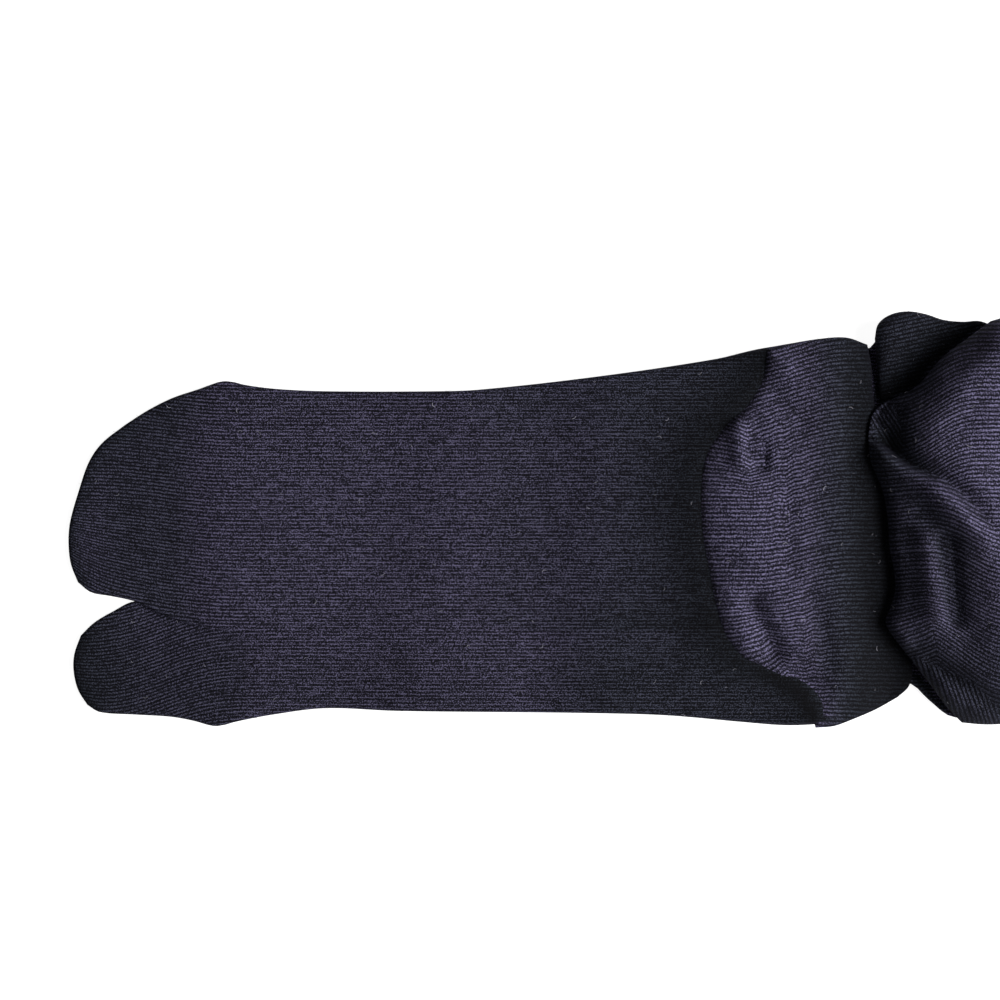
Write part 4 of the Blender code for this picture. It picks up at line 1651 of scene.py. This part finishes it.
        # Painted light on the lower corner.
        corner = 1.0 + 0.45 * ramp(-across, 28.0, 40.0) * (1.0 - ramp(along, 209.0, 218.0))
        # Painted shade toward the ankle, where the right heel stands over it.
        return lip * (0.74 - 0.65 * ramp(along, 189.0, 221.0)) * corner

    def heel_wales(self, points: np.ndarray, middles: np.ndarray) -> np.ndarray:
        """Wales meet in a V on the upper gore line and in an upturned V on the lower one.

        Args:
            points: the plan points.
            middles: the middle of the face that each point is on.

        Returns:
            The wale that each point is on.
        """
        along, across = points.T
        to_upper = np.abs(along - along_at(UPPER_GORE, across))
        to_lower = np.abs(along - along_at(LOWER_GORE, across))
        dip = 3.6 * ramp(across, 12.0, 25.0) * np.exp(-to_upper / 6.0)
        peak = 3.8 * (1.0 - ramp(across, -25.0, -11.0)) * np.exp(-to_lower / 6.0)
        upper_crimp = bell(along - 197.0, 4.0) * bell(across - 18.0, 22.0)
        lower_crimp = bell(along - 204.0, 4.0) * bell(across + 26.0, 12.0)
        crimp = 0.42 * np.sin(along * 1.25) * (upper_crimp + lower_crimp)
        climbing = 0.15 * climb(along, 186.0, 218.0)
        return (across - climbing + dip - peak + crimp) / self.heel_wale_pitch


@dataclass
class RightSock(Sock):
    """The lower sock, whose heel pouch and the edge of whose sole show."""

    side: Side = Side.RIGHT
    panel_wale_pitch: float = 1.12
    flap_wale_pitch: float = 1.15
    bulge_side: float = 30.0
    bulge_seat: float = 0.4
    bulge_rim: float = 4.2
    bulge_slack: float = 0.2
    heel_length: float = 58.0
    panel_width: float = 50.0
    flap_width: float = 80.0
    crease_rim: float = 2.0
    heel_seat: float = 0.35
    least_heel: float = 1.5
    crown_end: float = 252.0
    ankle_reach: float = 28.0
    leg_top: tuple[float, float] = (-38.0, 42.0)
    foot_flat: tuple[float, float] = (0.184, 0.212)
    bulge_flat: tuple[float, float] = (0.036, 0.038)
    heel_flat: tuple[float, float] = (0.220, 0.058)

    def build(self) -> None:
        """Builds the foot, the bulge of its sole, the heel pouch, the leg and the cuff."""
        ears = turned_over([TOES_OUTER[-1], BIG_OUTER[-1]])
        inner = curve([ears[0]] + RIGHT_FOOT_INNER)
        outer = curve([ears[1]] + RIGHT_FOOT_OUTER)
        grids, rims = self.toes_and_foot(turned_over, inner, outer)
        self.knit(
            "foot_knit",
            grids=grids,
            heights=self.tube_heights(rims, RIGHT_FOOT_STEPS),
            stands_for=["right_foot", "right_toe_pocket", "right_big_toe_pocket"],
            flat=self.foot_flat,
            rests_on=["right_leg_knit"],
        )
        self.build_bulge()
        self.build_heel()
        edges = (RIGHT_LEG_INNER, RIGHT_LEG_OUTER)
        self.build_leg(RIGHT_MOUTH, 0.0, edges, (), layers=0.0, below="backdrop")

    def build_bulge(self) -> None:
        """Builds the bulge of the sole beside the left ankle."""
        left, right, low, high = map(curve, (BULGE_LEFT, BULGE_RIGHT, BULGE_HIDDEN, BULGE_OUTER))
        shares = shares_between(self.heel_step, self.bulge_side, LIP_RIM, LIP_RIM)

        def heights(points: np.ndarray) -> tuple[np.ndarray, np.ndarray]:
            """The heights of the under side and the upper side.

            Args:
                points: the plan points.

            Returns:
                Both heights at each point.
            """
            under = np.full(points.shape[:-1], 2 * PITCH)
            rise = 1.6 + 4.8 * ramp(distance_to(points, [curve(PANEL_LIP)]), 0.0, 14.0)
            distance = distance_to(points, [left, right, low, high])
            upper = under + rise + slack(points, self.bulge_slack)
            return rimmed(under, upper, self.bulge_seat, distance, self.bulge_rim)

        self.knit(
            "sole_bulge_knit",
            grids=[Grid(low, high, shares, shares, left, right)],
            heights=heights,
            wales=lambda points, _: (points[:, 1] - 0.225 * points[:, 0]) / self.panel_wale_pitch,
            stands_for=["right_sole_bulge"],
            flat=self.bulge_flat,
            rests_on=["right_foot_knit"],
            # Painted shade: the bulge lies low between the heels and is drawn dark all over.
            tone=0.22,
            clear=0.95,
            inner_step=4.0,
            held="laid",
        )

    def build_heel(self) -> None:
        """Builds the heel pouch: a panel above the crease and a flap below it."""
        crease = curve(CREASE)
        panel_lip, panel_outer, panel_ankle = map(curve, (PANEL_LIP, PANEL_OUTER, PANEL_ANKLE))
        flap_lip, flap_inner, flap_ankle = map(curve, (FLAP_LIP, FLAP_INNER, FLAP_ANKLE))
        stations = shares_between(self.heel_step, self.heel_length, LIP_RIM, LIP_RIM)
        panel_rows = shares_between(self.heel_step, self.panel_width, self.crease_rim, LIP_RIM)
        flap_rows = shares_between(self.heel_step, self.flap_width, LIP_RIM, self.crease_rim)
        rims = [panel_lip, panel_outer, panel_ankle, flap_lip, flap_inner, flap_ankle]

        def heights(points: np.ndarray) -> tuple[np.ndarray, np.ndarray]:
            """The heights of the under side and the upper side.

            Args:
                points: the plan points.

            Returns:
                Both heights at each point.
            """
            under = self.heel_under(points)
            turned = np.clip((points[..., 0] - self.crown_end) / self.ankle_reach, 0.0, 1.0)
            drop = RIGHT_ANKLE_DROP * (1.0 - np.sqrt(1.0 - turned**2))
            upper = RIGHT_CROWN - fall(points, [flap_lip], *FLAP_FALL) - drop
            upper = upper + slack(points, self.heel_slack)
            upper = upper - fall(points, [panel_lip, panel_outer, flap_inner], *PANEL_FALL)
            upper = upper + self.crease_height(points, crease) + folded(points, RIGHT_FOLDS)
            upper = np.maximum(upper, under + self.least_heel)
            return rimmed(under, upper, self.heel_seat, distance_to(points, rims), LIP_RIM)

        self.knit(
            "heel_knit",
            grids=[
                Grid(crease, panel_outer, stations, panel_rows, panel_lip, panel_ankle),
                Grid(flap_inner, crease, stations, flap_rows, flap_lip, flap_ankle),
            ],
            heights=heights,
            wales=self.heel_wales,
            stands_for=["right_heel"],
            flat=self.heel_flat,
            rests_on=["left_heel_knit", "right_sole_bulge_knit", "backdrop"],
            tone=self.heel_tone_and_painted_shade,
            clear=0.85,
            inner_step=4.0,
        )

    def heel_under(self, points: np.ndarray) -> np.ndarray:
        """The heel lies on the left ankle and the bulge, then turns down round its own ankle.

        Args:
            points: the plan points.

        Returns:
            The height at each point.
        """
        along = points[..., 0]
        rests = 2 * PITCH
        over_ankle = (left_shoulder(along) + 0.7 - rests) * (1.0 - ramp(along, 231.5, 238.0))
        over_bulge = 4.4 * ramp(points[..., 1] - 0.75 * (along - 231.0), 24.0, 38.0)
        turned = ramp(along, *PAST_RIGHT_TUBES)
        return rests * (1.0 - turned) + np.maximum(over_ankle, over_bulge)

    def crease_height(self, points: np.ndarray, line: Line) -> np.ndarray:
        """The deep crease between panel and flap and the ridge by it, both ending at the ankle.

        Args:
            points: the plan points.
            line: the crease's line.

        Returns:
            The height at each point.
        """
        nearest = np.linalg.norm(points[..., None, :] - line, axis=-1).argmin(axis=-1)
        share = nearest / (len(line) - 1)
        distance = distance_to(points, [line])
        on_panel = points[..., 1] > line[nearest][..., 1]
        reach = np.where(on_panel, CREASE_REACH["panel"], CREASE_REACH["flap"])
        trough = CREASE_DEPTH * bell(distance, reach) * (1.0 - ramp(share, *CREASE_FADE))
        cleft_reach = np.where(on_panel, CLEFT_REACH, CREASE_REACH["flap"])
        cleft = np.interp(share, *zip(*CLEFT_DEPTHS)) * bell(distance, cleft_reach)
        crest = 3.6 + 1.6 * ramp(share, 0.3, 0.5)
        ridge = FLAP_RIDGE * ramp(distance, 0.0, crest) * bell(distance - crest, 3.6)
        ridge = np.where(on_panel, 0.0, ridge) * (1.0 - ramp(share, *RIDGE_FADE))
        return ridge - trough - cleft

    def heel_wales(self, points: np.ndarray, middles: np.ndarray) -> np.ndarray:
        """Wales rise on the panel, arch over the flap and turn sharply on the two gores.

        Args:
            points: the plan points.
            middles: the middle of the face that each point is on.

        Returns:
            The wale that each point is on.
        """
        along, across = points.T
        middle_along, middle_across = middles.T
        mitre = along_at(PANEL_GORE, middle_across)
        hem = across_at(FLAP_GORE, middle_along)
        apex = along_at(FLAP_APEX, across)
        panel = (across - 0.325 * climb(along, 224.0, 252.0)) / self.panel_wale_pitch
        tip = 0.857 * (along - 228.0) + 0.515 * (across - 36.0)
        peak = 4.2 * (1.0 - ramp(across, -22.0, -7.0)) * np.exp(-np.abs(along - apex) / 6.5)
        arch = 0.063 * climb(along, 222.0, 236.0) - 0.27 * climb(along, 234.0, 262.0)
        flap = (across - arch - peak) / self.flap_wale_pitch
        gusset = (0.94 * (along - 245.0) + 0.34 * (across + 40.0)) / self.panel_wale_pitch
        return np.where(
            middle_across > across_at(CREASE, middle_along),
            np.where(middle_along < mitre, tip, panel),
            np.where((middle_across < hem) & (middle_along > 232.0), gusset, flap),
        )

    def heel_tone_and_painted_shade(self, plan: np.ndarray) -> np.ndarray:
        """Painted light and shade: the panel lighter than the flap, a band by the crease lighter,
        the tip darkest.

        Args:
            plan: the plan points.

        Returns:
            The tone at each point.
        """
        along, across = plan.T
        over = across - across_at(CREASE, along)
        # Painted light on the panel and a flap band by the crease; painted shade on the tip and the
        # lower side.
        panel = ramp(over, -1.0, 1.0) * ramp(along, 227.0, 254.0)
        edge = ramp(along, 232.0, 243.0) * bell(over + 3.0, 7.0) * (1.0 - panel)
        tip = 1.0 - 0.58 * bell(along - 224.5, 8.5) * bell(across - 27.0, 8.0)
        low = 1.0 - 0.25 * ramp(-across, 16.0, 32.0)
        return (0.44 + 0.28 * panel + 0.22 * edge) * tip * low


@dataclass
class PaintedShelterShade:
    """How far each spot of the pair is sheltered by what stands round it.

    The cloth's colour is darkened where it is sheltered: painted shade in folds, hollows and beside
    taller parts.
    """

    cell: float = 1.0
    margin: int = 40
    nearest: float = 2.0
    reach: float = 32.0
    steps: int = 14
    bunching: float = 1.5
    directions: int = 16
    strength: float = 2.4
    cloth_depth: float = 3.0
    least: float = 0.05

    def heights_of(self, cloths: Sequence[bpy.types.Object]) -> tuple[np.ndarray, np.ndarray]:
        """The height of the top of the pair over a grid of cells.

        Args:
            cloths: the finished pieces.

        Returns:
            The heights in millimetres, and the plan point of the first cell.
        """
        places = np.vstack([surface_of(cloth) for cloth in cloths])
        plan = in_plan(places)
        first = np.floor(plan.min(axis=0)) - self.margin * self.cell
        size = np.ceil((plan.max(axis=0) - first) / self.cell).astype(int) + self.margin
        heights = np.zeros(size)
        at = ((plan - first) / self.cell).astype(int)
        np.maximum.at(heights, tuple(at.T), places[:, 2] / MM)
        turns = [(a, b) for a in (-1, 0, 1) for b in (-1, 0, 1)]
        return np.median([np.roll(heights, turn, (0, 1)) for turn in turns], axis=0), first

    def openness(self, heights: np.ndarray) -> np.ndarray:
        """The share of an overcast sky that each cell's flat top sees.

        Args:
            heights: the pair's height in each cell.

        Returns:
            The shares.
        """
        seen = np.zeros_like(heights)
        for turn in np.arange(self.directions) * 2 * np.pi / self.directions:
            steepest = np.zeros_like(heights)
            for share in np.linspace(0.0, 1.0, self.steps) ** self.bunching:
                distance = self.nearest + (self.reach - self.nearest) * share
                cells = np.array([np.cos(turn), np.sin(turn)]) * distance / self.cell
                shift = np.round(cells).astype(int)
                away = np.linalg.norm(shift) * self.cell
                rise = np.roll(heights, tuple(-shift), (0, 1)) - heights
                steepest = np.maximum(steepest, rise / away)
            seen += 1.0 / (1.0 + steepest**2)
        return seen / self.directions

    def shade(self, cloths: Sequence[bpy.types.Object]) -> None:
        """Darkens the tone of the cloth's upper side where it is sheltered: painted shade.

        Args:
            cloths: the finished pieces, whose tone is darkened by painted shade.
        """
        heights, first = self.heights_of(cloths)
        seen = self.openness(heights)
        for cloth in cloths:
            places = vertices_of(cloth)
            at = (in_plan(places) - first) / self.cell - 0.5
            low = np.floor(at).astype(int)
            part = at - low
            share = np.zeros(len(at))
            for a, b in ((0, 0), (0, 1), (1, 0), (1, 1)):
                weight = np.abs(1 - a - part[:, 0]) * np.abs(1 - b - part[:, 1])
                share += weight * seen[low[:, 0] + a, low[:, 1] + b]
            depth = heights[tuple(np.round(at).astype(int).T)] - places[:, 2] / MM
            layer = cloth.data.attributes["tone"]
            tone = np.empty(len(at), np.float32)
            layer.data.foreach_get("value", tone)
            # Painted shade: the share of sky that a spot sees darkens its tone.
            shade = np.maximum(share, self.least) ** self.strength
            shade = np.where(depth < self.cloth_depth, shade, 1.0)
            tone *= shade.astype(np.float32)
            layer.data.foreach_set("value", tone)


@dataclass
class Nap(Fibres):
    """The short fibre that the jersey's own yarn raises."""

    finish: Finish = NapFinish()
    density: float = 90000.0
    length: float = 0.7
    radius: float = 0.014
    rise: float = 0.5
    curl: float = 0.25


@dataclass
class Lint(Fibres):
    """The longer stray fibre that clings to the cloth here and there."""

    finish: Finish = LintFinish()
    density: float = 6400.0
    length: float = 1.0
    radius: float = 0.045
    rise: float = 0.12
    curl: float = 0.5


@dataclass
class Studio:
    """A pale paper floor, one broad soft light beyond the heels and the camera above."""

    floor_side: float = 3.0
    floor_parts: int = 8
    key_side: float = 0.9
    key_away: float = 1.2
    key_turn: float = -8.0
    key_tilt: float = 36.0
    key_power: float = 26.0
    fill: float = 0.12
    camera_height: float = 3.0
    camera_reach: float = 20.0
    sensor: float = 36.0
    frame_wide: float = 0.275
    aim: tuple[float, float, float] = (-0.0208, 0.0054, 0.008)

    def build(self) -> None:
        """Builds the floor, the lights and the camera."""
        bpy.context.scene.view_settings.view_transform = "Standard"
        self.add_floor()
        self.add_lights()
        self.add_camera()

    def add_floor(self) -> None:
        """Lays the paper under the socks."""
        mesh = bmesh.new()
        parts = self.floor_parts
        bmesh.ops.create_grid(mesh, x_segments=parts, y_segments=parts, size=self.floor_side / 2)
        data = bpy.data.meshes.new("backdrop")
        mesh.to_mesh(data)
        mesh.free()
        data.materials.append(PaperFinish().material())
        add_object("backdrop", data)

    def add_lights(self) -> None:
        """Sets up the softbox beyond the heels, low enough to model the folds, and the fill."""
        lamp = bpy.data.lights.new("softbox", "AREA")
        lamp.shape = "SQUARE"
        lamp.size = self.key_side
        lamp.energy = self.key_power
        turn, tilt = np.radians(self.key_turn), np.radians(self.key_tilt)
        toward = Vector((np.cos(turn) * np.cos(tilt), np.sin(turn) * np.cos(tilt), np.sin(tilt)))
        holder = add_object("softbox", lamp)
        holder.location = toward * self.key_away
        holder.rotation_euler = (-toward).to_track_quat("-Z", "Y").to_euler()
        world = bpy.data.worlds.new("room")
        world.use_nodes = True
        room = world.node_tree.nodes["Background"].inputs
        room["Color"].default_value = (1.0, 1.0, 1.0, 1.0)
        room["Strength"].default_value = self.fill
        bpy.context.scene.world = world

    def add_camera(self) -> None:
        """Looks straight down with a long lens."""
        data = bpy.data.cameras.new("camera")
        data.sensor_width = self.sensor
        data.lens = self.sensor * (self.camera_height - self.aim[2]) / self.frame_wide
        data.clip_end = self.camera_reach
        camera = add_object("camera", data)
        camera.location = (self.aim[0], self.aim[1], self.camera_height)
        bpy.context.scene.camera = camera


def main() -> None:
    """Builds the studio, both socks and what clings to them."""
    logging.basicConfig(level=logging.INFO, format="%(message)s")
    Studio().build()
    LeftSock().build()
    RightSock().build()
    # Paints shade into the cloth's tone where it is sheltered.
    PaintedShelterShade().shade([piece for piece in bpy.data.objects if piece.name.endswith("_knit")])
    for seed, name in enumerate(("left_foot", "left_heel", "right_heel", "right_sole_bulge")):
        cloth = bpy.data.objects[f"{name}_knit"]
        Nap(f"{name}_nap", NAP_SEED + seed).strew_over(cloth)
        Lint(f"{name}_lint", LINT_SEED + seed).strew_over(cloth)


if __name__ == "__main__":
    main()
